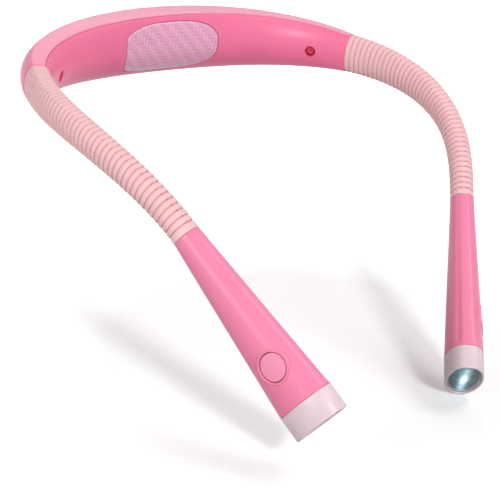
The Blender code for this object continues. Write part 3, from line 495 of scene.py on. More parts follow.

# %% [markdown]
# ### Moulded plastic
#
# The housing, lamps, rings and caps are injection moulded, with the fine grain that a spark-eroded
# tool leaves. One flat colour would look like paint on glass, so the colour varies a little in the
# mass, the roughness varies a little too, and a bump of 0.0015 mm breaks the shine. In a deep hole
# the pink is painted deeper, a painted shade for light that bounces from pink wall to pink wall.

# %% Moulded plastic
HOUSING_PINK = (0.88, 0.235, 0.390)
COVER_PINK = (0.90, 0.185, 0.350)
BEZEL_MAUVE = (0.78, 0.625, 0.660)
CAP_PINK = (0.89, 0.300, 0.455)
PLASTIC_GLOSS = 0.30
PATCH_SCALE, PATCH_SHADE = 55.0, 0.96
GRAIN_SCALE, GRAIN_HEIGHT = 2600.0, 0.0000015
ROUGHNESS_SPREAD = 0.02
PIT_POWER, PIT_SHADE = 1.8, 0.90


def moulded(name, colour, roughness):
    """Satin plastic. Where the stored well mark is 1 the colour deepens to colour^PIT_POWER * PIT_SHADE, a
    painted shade.
    """
    look = Look(name).set(roughness=roughness, specular_ior_level=PLASTIC_GLOSS)
    body = look.patches(PATCH_SCALE, shaded(colour, PATCH_SHADE), colour)
    # Painted shade for the inside of the screw wells.
    deep = tuple(value**PIT_POWER * PIT_SHADE for value in colour)
    look.feed("Base Color", look.mix(look.attribute("pit"), body, deep))
    ends = roughness - ROUGHNESS_SPREAD, roughness + ROUGHNESS_SPREAD
    look.feed("Roughness", look.ramp(look.noise(GRAIN_SCALE / 3), 0.3, 0.7, *ends))
    return look.bump(look.noise(GRAIN_SCALE, 2.0), GRAIN_HEIGHT).material


housing_look = moulded("satin_pink_shell", HOUSING_PINK, 0.32)
cover_look = moulded("satin_pink_cover", COVER_PINK, 0.36)
bezel_look = moulded("mauve_front_ring", BEZEL_MAUVE, 0.34)
cap_look = moulded("button_cap_pink", CAP_PINK, 0.40)
print("plastics:", [look.name for look in (housing_look, cover_look, bezel_look, cap_look)])

# %% [markdown]
# ### Silicone and the woven pad
#
# The sleeves are matt silicone: paler than the plastic, with painted shade in the grooves. The
# shade could come from ambient occlusion, but a number stored on the mesh with the groove's own
# depth gives the same edge from every side. The pad is covered in a 2/2 twill. A picture of cloth
# would do, but a formula on the piece's UV map repeats without a seam at any size.

# %% Silicone
SLEEVE_PINK = (0.90, 0.550, 0.560)
GROOVE_SHADE_PINK = (0.56, 0.225, 0.255)


def silicone():
    """Matt silicone with painted shade in the grooves: the attribute groove is 0 on a crest and 1 at
    the bottom of a groove, and a fine bloom breaks up the surface."""
    look = Look("pale_ribbed_silicone").set(roughness=0.55, specular_ior_level=0.3)
    crest = look.patches(90.0, shaded(SLEEVE_PINK, 0.96), SLEEVE_PINK)
    # Painted shade: the colour darkens towards the groove pink as the stored groove mark rises.
    groove_shade = look.ramp(look.attribute("groove"), 0.10, 1.1, 0.0, 1.0)
    look.feed("Base Color", look.mix(groove_shade, crest, GROOVE_SHADE_PINK))
    return look.bump(look.noise(3200.0, 2.0), 0.000006).material


sleeve_look = silicone()
print("sleeve finish:", sleeve_look.name)

# %% Twill
YARN = 0.00160
OVER_SHARE = 0.49
YARN_SHADE_PINK, YARN_LIT_PINK = (0.74, 0.300, 0.470), (0.84, 0.440, 0.620)
ACROSS_SHADE = 0.42
YARN_BUMP, YARN_BUMP_STRENGTH = 0.00006, 0.6
FIBRE_SCALE = (9000.0, 9000.0, 2500.0)


def woven():
    """A 2/2 twill on the piece's own UV map, one yarn to a unit. In cell (i, j) the upright yarn lies
    on top where the fraction of (i + j) / 4 is under a half, so each row steps aside by one, which
    makes the slanting lines. Each yarn is rounded: height = sin(pi * fraction) across it. Its colour
    is painted lighter along its crown and darker towards its sides, and darker still where it lies
    across, a painted light and shade of the rounding."""
    look = Look("twill_pad").set(roughness=0.26, coat_weight=0.5, coat_roughness=0.16)
    weave_map = look.add("ShaderNodeUVMap", uv_map="weave").outputs["UV"]
    parts = look.add("ShaderNodeSeparateXYZ", [(0, weave_map)]).outputs
    yarns = [look.maths("DIVIDE", parts[axis], YARN) for axis in (0, 1)]
    cell = look.maths("ADD", *(look.maths("FLOOR", yarn) for yarn in yarns))
    cycle = look.maths("FRACT", look.maths("MULTIPLY", cell, 0.25))
    upright = look.maths("LESS_THAN", cycle, OVER_SHARE)
    turns = [look.maths("MULTIPLY", look.maths("FRACT", yarn), math.pi) for yarn in yarns]
    rounds = [look.maths("SINE", turn) for turn in turns]
    lying = look.maths("MULTIPLY", look.maths("SUBTRACT", 1.0, upright), rounds[1])
    height = look.maths("ADD", look.maths("MULTIPLY", upright, rounds[0]), lying)
    shade = look.maths("MULTIPLY", height, look.ramp(upright, 0.0, 1.0, ACROSS_SHADE, 1.0))
    # Painted light and shade of the rounding: a yarn's crown lighter, its sides and lying yarns darker.
    look.feed("Base Color", look.mix(shade, YARN_SHADE_PINK, YARN_LIT_PINK))
    fibres = look.noise(1.0, 2.0, look.vector("MULTIPLY", look.place(), FIBRE_SCALE))
    look.feed("Roughness", look.ramp(fibres, 0.3, 0.7, 0.20, 0.34))
    return look.bump(height, YARN_BUMP, YARN_BUMP_STRENGTH).material


pad_look = woven()
print("pad finish:", pad_look.name, "with yarns of", YARN * 1000, "mm")

# %% [markdown]
# ### Window, reflector and LED
#
# The lamps are lit. A real LED would need thousands of light paths through the clear window before
# its glare came out clean, so the glare is painted into the materials instead: the window glows
# where a real one scatters light, the metallised cup has a cold haze near its throat, and the LED
# itself is bright. Each pattern is a formula of how far out a point lies and the angle round it.

# %% The lit window
CLEAR_TINTS = (0.90, 0.97, 0.98), (0.94, 0.99, 1.0)
GLARE_TINTS = (0.22, 0.62, 0.80), (0.86, 0.96, 1.0)
HALO_LEVEL, CORE_LEVEL, BAND_LEVEL, LINE_LEVEL = 0.30, 0.80, 0.60, 0.50
CORE_REACH, BAND_WIDTH, LINE_WIDTH, STREAKS_END = 0.50, 0.34, 0.05, 0.80
GLARE_FALL = 1.6


def clear():
    """A clear polycarbonate window with a faint cold tint. reach is 0 in its middle and 1 at its
    rim, and glare = a halo in rays + a bright core + a band that fades with |reach * cos(turn)| + a
    thin line where reach * sin(turn) is near 0. Band and line run out before the rim."""
    look = Look("lit_clear_window")
    look.set(roughness=0.03, transmission_weight=1.0, ior=1.49, specular_ior_level=0.2)
    reach, turn = look.attribute("reach"), look.attribute("turn")

    def fading(value, end):
        """(1 - value / end)^GLARE_FALL, and 0 past the end."""
        return look.maths("POWER", look.ramp(value, 0.0, end, 1.0, 0.0), GLARE_FALL)

    halo = look.maths("MULTIPLY", fading(reach, 1.0), look.rays(2.6, 3.0))
    aside = look.maths("ABSOLUTE", look.maths("MULTIPLY", reach, look.maths("COSINE", turn)))
    above = look.maths("MULTIPLY", reach, look.maths("SINE", turn))
    band = look.maths("MULTIPLY", fading(aside, BAND_WIDTH), BAND_LEVEL)
    line = look.maths("MULTIPLY", look.ramp(above, 0.0, LINE_WIDTH, 1.0, 0.0), LINE_LEVEL)
    core = look.maths("MULTIPLY", fading(reach, CORE_REACH), CORE_LEVEL)
    glare = look.maths("ADD", look.maths("MULTIPLY", halo, HALO_LEVEL), core)
    inside = look.ramp(reach, STREAKS_END, 1.0, 1.0, 0.0)
    streaks = look.maths("MULTIPLY", look.maths("ADD", band, line), inside)
    glare = look.maths("ADD", glare, streaks)
    look.feed("Emission Color", look.mix(glare, *GLARE_TINTS)).feed("Emission Strength", glare)
    return look.feed("Base Color", look.patches(400.0, *CLEAR_TINTS, 0.4, 0.6)).material


lens_look = clear()
print("window finish:", lens_look.name)

# %% The reflector and the LED
CUP_TINTS = (0.02, 0.05, 0.065), (0.07, 0.15, 0.18)
HAZE_TINTS = (0.20, 0.55, 0.70), (0.75, 0.93, 1.0)
HAZE_POWER, HAZE_LEVEL = 1.5, 0.35
LED_TINTS, LED_LEVEL = ((0.62, 0.86, 1.0), (0.85, 0.95, 1.0)), 3.0


def mirror():
    """A vacuum-metallised cup, dark teal at its mouth. depth is 1 at the throat and 0 at the mouth,
    and the haze is depth^HAZE_POWER times rays that change with the angle round the cup only."""
    look = Look("teal_reflector").set(metallic=1.0, specular_tint=(0.05, 0.11, 0.14))
    depth, rays = look.attribute("depth"), look.rays(7.0, 2.0)
    # The rays streak the base colour as well as the haze: painted streaks of glare in the cup.
    look.feed("Base Color", look.mix(rays, *CUP_TINTS))
    look.feed("Emission Color", look.mix(depth, *HAZE_TINTS))
    haze = look.maths("MULTIPLY", look.maths("POWER", depth, HAZE_POWER), rays)
    look.feed("Emission Strength", look.ramp(haze, 0.0, 1.0, 0.0, HAZE_LEVEL))
    return look.feed("Roughness", look.ramp(look.noise(900.0), 0.3, 0.7, 0.28, 0.40)).material


def glowing():
    """The lit LED: a cold white that is a little uneven, as phosphor is."""
    look = Look("lit_led").set(roughness=0.3, emission_strength=LED_LEVEL)
    glow = look.mix(look.noise(800.0), *LED_TINTS)
    return look.feed("Base Color", glow).feed("Emission Color", glow).material


reflector_look, led_look = mirror(), glowing()
print("materials so far:", len(bpy.data.materials))

# %% [markdown]
# ## The housing on the nape
#
# Two mouldings make the housing. The outer shell carries the flat top and the back, the inner
# cover faces the neck, and they meet in a thin seam along the inner ridge and along the bottom.
# Each is a part of the section with a wall: out along the surface, back along the inside, and a
# small rolled lip at either edge, so that the seam catches the light as a moulded one does.

# %% Rolled edges and half sections
FIT_GAP = 0.0003
NECK_WALL = 0.0018
SEAM_GAP = 0.00010
LIP = 0.00010
LIP_ROLL = np.array([0.0, 0.3, 1.0])


def rolled_rows(start, end, count):
    """Arcs from start to end with their depths. Both ends are rounded off by quarter circles of the
    lip's radius, and between them the rows are even and at the full section."""
    near, far = start + LIP * LIP_ROLL, (end - LIP * LIP_ROLL)[::-1]
    middle = np.linspace(near[-1], far[0], count)[1:-1]
    lip = LIP * LIP_ROLL
    depths = np.concatenate([lip[::-1], np.zeros(len(middle)), lip])
    return np.concatenate([near, middle, far])[:, None], depths[:, None]


def half_section(arcs, angles, row_depth):
    """A closed path: round part of the section with rolled edges, then back on the wall's inside."""
    width, _, crown, keel = sizes_at(arcs)

    def pace(angle):
        """Surface length per radian there: the length of the section's derivative."""
        rise = np.where(np.sin(angle) > 0, uncut(arcs, crown), keel) * np.cos(angle)
        return np.hypot(width / 2 * np.sin(angle), rise)

    first, last = angles[:, :1], angles[:, -1:]
    way = np.sign(last - first)
    head = first + way * (SEAM_GAP + LIP * LIP_ROLL) / pace(first + way * 0.001)
    tail = last - way * (SEAM_GAP + LIP * LIP_ROLL[::-1]) / pace(last - way * 0.001)
    path = np.hstack([head, angles[:, 1:-1], tail])
    lips = np.concatenate([LIP_ROLL[::-1], np.zeros(angles.shape[1] - 2), LIP_ROLL]) * LIP
    out, up = section(arcs, path, np.maximum(lips, row_depth))
    inner_out, inner_up = section(arcs, path[:, ::-1], NECK_WALL)
    return np.hstack([out, inner_out]), np.hstack([up, inner_up])


print("seam in mm:", SEAM_GAP * 2000, "wide, lip radius", LIP * 1000)

# %% The two halves of the housing
SEAM_BELOW = 0.05
NECK_ROWS = 90


def shell_angles(ridge):
    """From just below the inner ridge over the flat top and down the back to the bottom. The two
    powers crowd the columns towards the outer ridge."""
    over = 1 - (1 - np.linspace(0, 1, 10)[:-1]) ** 1.5
    down = np.linspace(0, 1, 16)[:-1] ** 1.6
    under = np.broadcast_to(-np.pi / 2 * np.linspace(0, 1, 16), (len(ridge), 16))
    start = np.pi - ridge + SEAM_BELOW * np.array([1.0, 0.5])
    return np.hstack([start, np.pi - ridge + (2 * ridge - np.pi) * over, ridge * (1 - down), under])


def cover_angles(ridge):
    """From the bottom up the inside to just below the inner ridge."""
    under = np.pi * (1.5 - 0.5 * np.linspace(0, 1, 16)[:-1])
    under = np.broadcast_to(under, (len(ridge), 15))
    return np.hstack([under, np.pi - (ridge - SEAM_BELOW) * np.linspace(0, 1, 16)])


def neck_piece(name, angles_of):
    """Rows from the left end to the right end, both halves of the centreline in one grid."""
    along, row_depth = rolled_rows(-NECK_HALF, NECK_HALF, NECK_ROWS)
    arcs = np.abs(along)
    out, up = half_section(arcs, angles_of(ridge_angle(arcs)), row_depth)
    return make_grid_piece(name, place_across(along, out, up))


neck_shell = neck_piece("neck_shell", shell_angles)
neck_cover = neck_piece("neck_cover", cover_angles)
print("neck shell and cover:", len(neck_shell.data.polygons), len(neck_cover.data.polygons), "faces")

# %% [markdown]
# ## Screw wells and the charging port
#
# A screw on either side draws the two halves together from a well in the inner cover, and the
# charging port opens in the back. These are holes in a finished surface, so a Boolean is the
# natural way: the tools are turned profiles carried on the centreline's own frame.

# %% Wells and bosses
SCREW_FROM_END, SCREW_RISE = 0.0173, -0.0015
SCREW_ARC = NECK_HALF - SCREW_FROM_END
WELL_RADIUS = 0.0021
WELL_DEPTH = 0.0036
FLARE, FLARE_RUN = 0.0001, 0.0003
BOSS_RADIUS = 0.0032
BOSS_DEPTH = 0.0050
PASS_RADIUS = 0.0012
OVERRUN = 0.002
WELL_SIDES = 48
WELL_FACE = -float(side_face(SCREW_ARC, SCREW_RISE))
WELL_FLOOR, BOSS_END = WELL_FACE + WELL_DEPTH, WELL_FACE + BOSS_DEPTH


def turned_tool(side, *profile):
    """A solid of revolution about the screw's axis: profile is (out, radius) stations."""
    angle = around(WELL_SIDES)[None, :, None]
    out, radius = (np.array(column)[:, None, None] for column in zip(*profile))
    origin, along, outward, upward = frames(side, SCREW_ARC)
    across = along * np.cos(angle) + upward * np.sin(angle)
    return make_grid_piece("tool", origin + upward * SCREW_RISE + outward * out + across * radius)


for side in SIDES:
    boss = turned_tool(side, (WELL_FACE + NECK_WALL / 2, BOSS_RADIUS), (BOSS_END, BOSS_RADIUS))
    carve(neck_cover, boss, "UNION")
    mouth = (WELL_FACE - OVERRUN, WELL_RADIUS + OVERRUN), (WELL_FACE + FLARE, WELL_RADIUS + FLARE)
    well = (WELL_FACE + FLARE + FLARE_RUN, WELL_RADIUS), (WELL_FLOOR, WELL_RADIUS)
    carve(neck_cover, turned_tool(side, *mouth, *well))
    passage = (WELL_FLOOR - OVERRUN / 2, PASS_RADIUS), (BOSS_END + OVERRUN, PASS_RADIUS)
    carve(neck_cover, turned_tool(side, *passage))
print("cover with its wells:", len(neck_cover.data.polygons), "faces")

# %% The charging port
CELL_END = 0.025
BOARD_ARC = (CELL_END + SCREW_ARC - BOSS_RADIUS) / 2
BOARD_RISE, BOARD_THICKNESS = -0.0021, 0.0010
SOCKET_WIDTH, SOCKET_HEIGHT, PORT_GAP = 0.0089, 0.0032, 0.0004
PORT_WIDTH, PORT_HEIGHT = SOCKET_WIDTH + 2 * PORT_GAP, SOCKET_HEIGHT + 2 * PORT_GAP
PORT_RISE = BOARD_RISE + BOARD_THICKNESS / 2 + FIT_GAP + SOCKET_HEIGHT / 2

angle = around(64)[None, :, None]
port_along = np.sign(np.cos(angle)) * (PORT_WIDTH - PORT_HEIGHT) / 2 + PORT_HEIGHT / 2 * np.cos(angle)
port_up = PORT_RISE + PORT_HEIGHT / 2 * np.sin(angle)
origin, along, outward, upward = frames("right", BOARD_ARC)
port_out = side_face(BOARD_ARC, 0.0) + np.array([-NECK_WALL - OVERRUN, OVERRUN])[:, None, None]
port = origin + outward * port_out + along * port_along + upward * port_up
carve(neck_shell, make_grid_piece("tool", port))
print("shell with its port:", len(neck_shell.data.polygons), "faces")

# %% [markdown]
# ## The pad
#
# A thin pad with a raised twill lies in a shallow recess where the light touches the neck. It
# follows the cover's curve, so it is made from the same side face: rings that shrink from a
# rounded oblong to its middle, the first of them rolled over the edge. The rings are close enough
# for the yarns to be real relief, so they show along the pad's outline too, and the material only
# adds their finer shading. The UV map keeps real lengths, so the twill has one size all over.

# %% The pad's outline and its weave
PAD_HALF_LENGTH = 0.0246
PAD_HALF_HEIGHT = 0.0103
PAD_RISE = 0.0007
PAD_SQUARENESS, PAD_SQUARER = 2.8, 2.8
PAD_SQUARE_CORNER = math.radians(215)
OUTLINE_SAMPLES = 721


def oblong(shrink, count):
    """A superellipse drawn back by shrink: |along / a|^n + |up / b|^n = 1, where n is larger towards
    the squarer corner. Returns the places along and up, evenly spaced round its length."""
    turn = np.linspace(0, 2 * np.pi, OUTLINE_SAMPLES)
    power = PAD_SQUARENESS + PAD_SQUARER * np.clip(np.cos(turn - PAD_SQUARE_CORNER), 0, 1) ** 2
    across, rise = (np.sign(wave) * np.abs(wave) ** (2 / power) for wave in (np.cos(turn), np.sin(turn)))
    along, up = (PAD_HALF_LENGTH - shrink) * across, (PAD_HALF_HEIGHT - shrink) * rise + PAD_RISE
    run = np.append(0.0, np.cumsum(np.hypot(np.diff(along), np.diff(up))))
    wanted = np.linspace(0, run[-1], count, endpoint=False)
    return np.interp(wanted, run, along), np.interp(wanted, run, up)


def twill(along, up):
    """The relief of the weave from 0 to 1, by the same formula as in its material."""
    across, rise = along / YARN, up / YARN
    upright = np.mod(np.floor(across) + np.floor(rise), 4) < 4 * OVER_SHARE
    return np.sin(np.pi * np.mod(np.where(upright, across, rise), 1))


def oblong_rings(shrinks, depths, relief=0.0, count=192):
    """Rings of the oblong at these depths under the cover's face with the weave raised on them,
    and their places along and up."""
    along, up = np.array([oblong(shrink, count) for shrink in shrinks]).transpose(1, 0, 2)
    sunk = np.array(depths)[:, None] - relief * twill(along, up)
    return place_across(along, -side_face(np.abs(along), up) + sunk, up), along, up


print("pad in mm:", PAD_HALF_LENGTH * 2000, "by", PAD_HALF_HEIGHT * 2000)

# %% The recess, and the shade in the wells
PAD_DEEP = 0.0007
PAD_GAP = 0.00028


def mark_pit(piece, side):
    """Marks the points in a screw well, out to 1.02 of its radius, for painted shade. The mark rises
    from 0 just under the face to 1 at the end of the flare."""
    points = np.empty(len(piece.data.vertices) * 3)
    piece.data.vertices.foreach_get("co", points)
    origin, along, outward, upward = frames(side, SCREW_ARC)
    apart = points.reshape(-1, 3) - (origin + upward * SCREW_RISE)
    near = np.hypot(apart @ along, apart @ upward) < WELL_RADIUS * 1.02
    return near * np.clip(((apart @ outward) - WELL_FACE - FLARE) / FLARE_RUN, 0, 1)


recess, _, _ = oblong_rings([-PAD_GAP, -PAD_GAP], [-OVERRUN, PAD_DEEP + FIT_GAP])
carve(neck_cover, make_grid_piece("tool", recess))
# The screw wells are marked for painted shade.
store(neck_cover, "pit", np.maximum(*(mark_pit(neck_cover, side) for side in SIDES)))
finish_piece(neck_shell, housing_look, "neck", ["neck_outer_shell"])
finish_piece(neck_cover, cover_look, "neck", ["neck_inner_cover"])
print("cover with its recess:", len(neck_cover.data.polygons), "faces")

# %% The pad in its recess
PAD_PROUD = 0.0003
PAD_EDGE = 0.0004
PAD_UNDERSIDE_INSET = 0.002
PAD_LAST_RING = 0.0002
PAD_RINGS, PAD_COLUMNS = 54, 440
WEAVE_RELIEF = 0.00009
WEAVE_STARTS_IN_RINGS = 4

roll = np.linspace(0, np.pi / 2, 6)
across_pad = PAD_HALF_HEIGHT - PAD_EDGE - PAD_LAST_RING
inward = PAD_EDGE + across_pad * np.linspace(0, 1, PAD_RINGS + 1)[1:]
shrinks = np.concatenate([[PAD_UNDERSIDE_INSET, 0.0], PAD_EDGE * (1 - np.cos(roll)), inward])
edge_depths = PAD_EDGE - PAD_PROUD - PAD_EDGE * np.sin(roll)
depths = np.concatenate([[PAD_DEEP, PAD_DEEP], edge_depths, np.full(PAD_RINGS, -PAD_PROUD)])
growing = np.minimum(np.arange(1, PAD_RINGS + 1) / WEAVE_STARTS_IN_RINGS, 1)
raised = WEAVE_RELIEF * np.concatenate([np.zeros(2 + len(roll)), growing])[:, None]
rings, along, up = oblong_rings(shrinks, depths, raised, PAD_COLUMNS)
pad = make_grid_piece("nape_pad", rings)
weave = pad.data.uv_layers.new(name="weave")
corner_points = np.empty(len(pad.data.loops), np.int32)
pad.data.loops.foreach_get("vertex_index", corner_points)
flat = np.stack([along.ravel(), up.ravel()], axis=-1)
weave.data.foreach_set("uv", flat[corner_points].astype(np.float32).ravel())
finish_piece(pad, pad_look, "neck", ["neck_pad"])
print("pad:", len(pad.data.polygons), "faces, edge radius", PAD_EDGE * 1000, "mm")

# %% [markdown]
# ## The ribbed sleeves
#
# The sleeve is one silicone moulding on each arm: broad soft bands with a thin groove between
# them. The ribs could be an array of rings, but they change size all along, so the groove is a
# depth under the section instead. One band is a flat-topped arch,
# depth = D (1 - (1 - (1 - u)^p)^(1/p)), with u = 0 in the groove and 1 on the crest.
# Each sleeve is parted in four grooves where nothing bends, and each part spans one joint.

# %% The shape of a rib
RIBS = 42
COLLAR_LENGTH = 0.0030
PITCH = (ARM_LENGTH - COLLAR_LENGTH) / RIBS
GROOVE_AT_ROOT, GROOVE_AT_TIP = 0.00046, 0.00070
ARCH_POWER = 2.3
NOTCH_DEPTH, NOTCH_SPREAD = 0.55, 0.10


def groove_share(arcs):
    """0 on a crest and 1 at the bottom of a groove, from the arch formula."""
    rib = (arcs - NECK_HALF) / PITCH
    off = np.minimum(np.abs(rib - np.round(rib)) * 2, 1.0)
    arch = 1 - (1 - (1 - off) ** ARCH_POWER) ** (1 / ARCH_POWER)
    return np.where(rib > RIBS + 0.5, 0.0, arch)


def notch(arcs, angles):
    """How much deeper the groove bites where it crosses a ridge: a Gaussian about the ridge, from
    nothing at the housing to its most at the lamp."""
    off = np.abs(from_top(angles) - (np.pi / 2 - ridge_angle(arcs)))
    return arm_share(arcs) * np.exp(-((off / NOTCH_SPREAD) ** 2))


def groove_depth(arcs, angles):
    """The groove's depth, in a straight line from the housing to the lamp, and the notch on top."""
    deepest = GROOVE_AT_ROOT + (GROOVE_AT_TIP - GROOVE_AT_ROOT) * arm_share(arcs)
    return deepest * groove_share(arcs) * (1 + NOTCH_DEPTH * notch(arcs, angles))


print("ribs:", RIBS, "of", round(PITCH * 1000, 3), "mm")

# %% The parts of a sleeve
BEND_BOUNDS = (0, 11, 21, 31, RIBS)
RIB_PLACES = np.array([0.015, 0.05, 0.11, 0.20, 0.34, 0.60, 1.0])
LAMP_SEAM = 0.00004
COLLAR_EDGE = np.array([0.99, 0.693])
CORE_RADIUS = 0.0016
CABLE_RADIUS = 0.0011
BORE_RADIUS = CORE_RADIUS + FIT_GAP
BORE_HALF_HEIGHT = CORE_RADIUS + CABLE_RADIUS + 1.5 * FIT_GAP
BORE_RISE = -0.00045
BORE_ROWS = 14


def sleeve_arcs(first, last):
    """Stations from one groove to another, crowded into the grooves. The last part ends in a plain
    collar whose edge just begins to roll."""
    half = np.concatenate([RIB_PLACES, (2 - RIB_PLACES[:-1])[::-1]]) / 2
    arcs = NECK_HALF + (np.arange(first, last)[:, None] + half).ravel() * PITCH
    if last == RIBS:
        end = LAMP_START - LAMP_SEAM
        collar = NECK_HALF + RIBS * PITCH + RIB_PLACES[:-1] * PITCH / 2
        plain = np.linspace(collar[-1], end - LIP, 4)[1:]
        arcs = np.concatenate([arcs, collar, plain, end - LIP * COLLAR_EDGE])
    return np.unique(arcs)


def stadium(count):
    """The bore: an upright stadium for the core and the cable, in step with the section's angles."""
    angle = around(count)
    lift = np.sign(np.sin(angle)) * (BORE_HALF_HEIGHT - BORE_RADIUS)
    return BORE_RADIUS * np.cos(angle), BORE_RISE + lift + BORE_RADIUS * np.sin(angle)


def sleeve_part(side, number):
    """One part of a sleeve: ribbed outside, plain bore, closed as a ring."""
    arcs = sleeve_arcs(*BEND_BOUNDS[number:number + 2])[:, None]
    angles = round_angles(arcs, 9, 6, 26)
    into_edge = np.clip((arcs - (LAMP_START - LAMP_SEAM - LIP)) / LIP, 0, 1)
    depth = np.maximum(groove_depth(arcs, angles), LIP * into_edge**2)
    outside = place(side, arcs, *section(arcs, angles, depth))
    bore_arcs = np.linspace(arcs[-1, 0], arcs[0, 0], BORE_ROWS)[:, None]
    points = np.vstack([outside, place(side, bore_arcs, *stadium(angles.shape[1]))])
    piece = make_grid_piece(f"sleeve_{side}_bend_{number + 1}", points, ring=True)
    # The mark for the painted shade: full in the grooves, more at the notches, and full in the bore.
    shade = groove_share(arcs) * (1 + notch(arcs, angles))
    store(piece, "groove", np.vstack([shade, np.ones((BORE_ROWS, angles.shape[1]))]))
    return piece


print("sleeve part 1:", len(sleeve_arcs(*BEND_BOUNDS[:2])), "rows")

# %% Baking the parts in place
JOINT_RIBS = (5, 16, 26, 37)
BEND_REACH = 0.0115


def bend(piece, side, number):
    """Bakes the piece's transform into its mesh. The ends of the joint's reach are worked out but not
    used, so the piece does not turn with the arm.
    """
    arc = NECK_HALF + JOINT_RIBS[number] * PITCH
    ends = place(side, np.array([arc - BEND_REACH, arc + BEND_REACH]), 0.0, 0.0)
    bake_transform(piece)


for side in SIDES:
    for number in range(4):
        nodes = [f"sleeve_{side}_{number + 1}"] + ([f"sleeve_{side}_5"] if number == 3 else [])
        part = finish_piece(sleeve_part(side, number), sleeve_look, None, nodes)
        bend(part, side, number)
        print(part.name, len(part.data.polygons), "faces")

# %% [markdown]
# ## The lamp cables
#
# A thin cable runs beside each core, from the charging board to the lamp. Nobody sees it, but when
# an arm is bent the cable has to bend too, or it would poke out through the sleeve. So it is a
# plain tube in six lengths: one in the housing, four in the arm, one for each part of the sleeve,
# and one in the lamp. The knots of its way through the housing were given one by one, past cell and screw.

# %% Tubes along a smooth path
PATH_STEP = 0.002
KNOT_STEPS = 16
TUBE_SIDES = 12


def tube(name, path, radius):
    """A round tube: circles in the plane across the path, whose tangent is its central difference."""
    tangent = np.gradient(path, axis=0)
    tangent /= np.linalg.norm(tangent, axis=1, keepdims=True)
    across = np.cross(tangent, [0.0, 0.0, 1.0])
    across /= np.linalg.norm(across, axis=1, keepdims=True)
    over = np.cross(across, tangent)
    angle = around(TUBE_SIDES)[None, :, None]
    circles = across[:, None] * np.cos(angle) + over[:, None] * np.sin(angle)
    return make_grid_piece(name, path[:, None] + radius * circles)


def smooth_path(places):
    """A Catmull-Rom curve through the places, read at an even step."""
    knots = np.vstack([places[:1], places, places[-1:]])
    t = np.linspace(0, 1, KNOT_STEPS, endpoint=False)[:, None]
    runs = []
    for a, b, c, d in zip(knots, knots[1:], knots[2:], knots[3:]):
        high_terms = (3 * b - a - 3 * c + d) * t**3 + (2 * a - 5 * b + 4 * c - d) * t**2
        runs.append(b + (high_terms + (c - a) * t) / 2)
    curve = np.vstack([*runs, knots[-1:]])
    run = np.append(0.0, np.cumsum(np.linalg.norm(np.diff(curve, axis=0), axis=1)))
    wanted = np.linspace(0, run[-1], int(run[-1] / PATH_STEP) + 1)
    return np.column_stack([np.interp(wanted, run, column) for column in curve.T])


def route(side, anchor, *stops):
    """Places given as (distance past the anchor, out, up)."""
    away, out, up = np.array(stops).T
    return place(side, anchor + away, out, up)


print("tubes of", TUBE_SIDES, "sides")

# %% The way through the housing
OVER_CELL_SHARES = np.array([0.8, 0.4, 0.0, -0.5])
PAST_CELL = CELL_END + 0.0020
MIDWAY = (PAST_CELL + SCREW_ARC - 0.0145) / 2

climb = route(
    "right", CELL_END,
    (0.0135, -0.0018, 0.0), (0.0100, -0.0018, 0.0018), (0.0065, -0.0015, 0.0056), (0.0020, -0.0010, 0.0090),
)
over_cell = place_across(OVER_CELL_SHARES * CELL_END, -0.0010, 0.0101)
descent = route("left", 0.0, (PAST_CELL, -0.0010, 0.0097), (MIDWAY, -0.0005, 0.0082))
to_screw = route("left", SCREW_ARC, (-0.0145, 0.0, 0.0062), (0.0, 0.0, 0.0046))
in_housing = {
    "left": np.vstack([climb, over_cell, descent, to_screw]),
    "right": route(
        "right", SCREW_ARC,
        (-0.0165, 0.0, 0.0), (-0.0125, 0.0, 0.0012), (-0.0070, 0.0, 0.0036), (0.0, 0.0, 0.0046),
    ),
}
for side in SIDES:
    print(side, "cable passes", len(in_housing[side]), "knots in the housing")

# %% The cables in six lengths
CABLE_RISE = BORE_RISE + BORE_HALF_HEIGHT - FIT_GAP - CABLE_RADIUS
PLUG_LENGTH = 0.0086
CONTROL_FROM_FRONT, CONTROL_LENGTH = 0.0183, 0.0310
CONTROL_START = SIDE_LENGTH - CONTROL_FROM_FRONT - CONTROL_LENGTH


def hidden(name, colour, roughness=0.5, metallic=0.0, grain=900.0):
    """A plain finish for what lies inside, with a slight mottle."""
    look = Look(name).set(roughness=roughness, metallic=metallic)
    return look.feed("Base Color", look.mix(look.noise(grain), shaded(colour, 0.8), colour)).material


def cable(side, name, path, body=None, nodes=()):
    """One length of a cable."""
    piece = tube(f"cable_{side}_{name}", path, CABLE_RADIUS)
    return finish_piece(piece, cable_look, body, nodes)


cable_look = hidden("cable_sheath_grey", (0.80, 0.80, 0.78))
for side in SIDES:
    held = place(side, np.linspace(NECK_HALF - PLUG_LENGTH, NECK_HALF, 3), 0.0, CABLE_RISE)
    path = smooth_path(np.vstack([in_housing[side], held]))
    cable(side, "housing", path, "neck", [f"lamp_cable_{side}"])
    bounds = [NECK_HALF + rib * PITCH for rib in BEND_BOUNDS[:4]] + [LAMP_START]
    for number in range(4):
        path = place(side, np.linspace(bounds[number], bounds[number + 1], 24), 0.0, CABLE_RISE)
        bend(cable(side, f"bend_{number + 1}", path), side, number)
    path = place(side, np.linspace(LAMP_START, CONTROL_START - FIT_GAP, 12), 0.0, CABLE_RISE)
    cable(side, "lamp", path, f"lamp_{side}")
print("cable lengths:", [name for name in pieces_made if name.startswith("cable_left")])

# %% [markdown]
# ## The tapered lamps
#
# A lamp housing is a moulded tube that swells from the arm to the front ring. It is the section
# again with rolled ends and a wall. The hole for the button is carved through its outer side, a
# raised ring frames the hole, and the cap stands in it with a flange behind the wall, which keeps
# it from falling out. Cap and ring follow the lamp's side, flattened half-way.

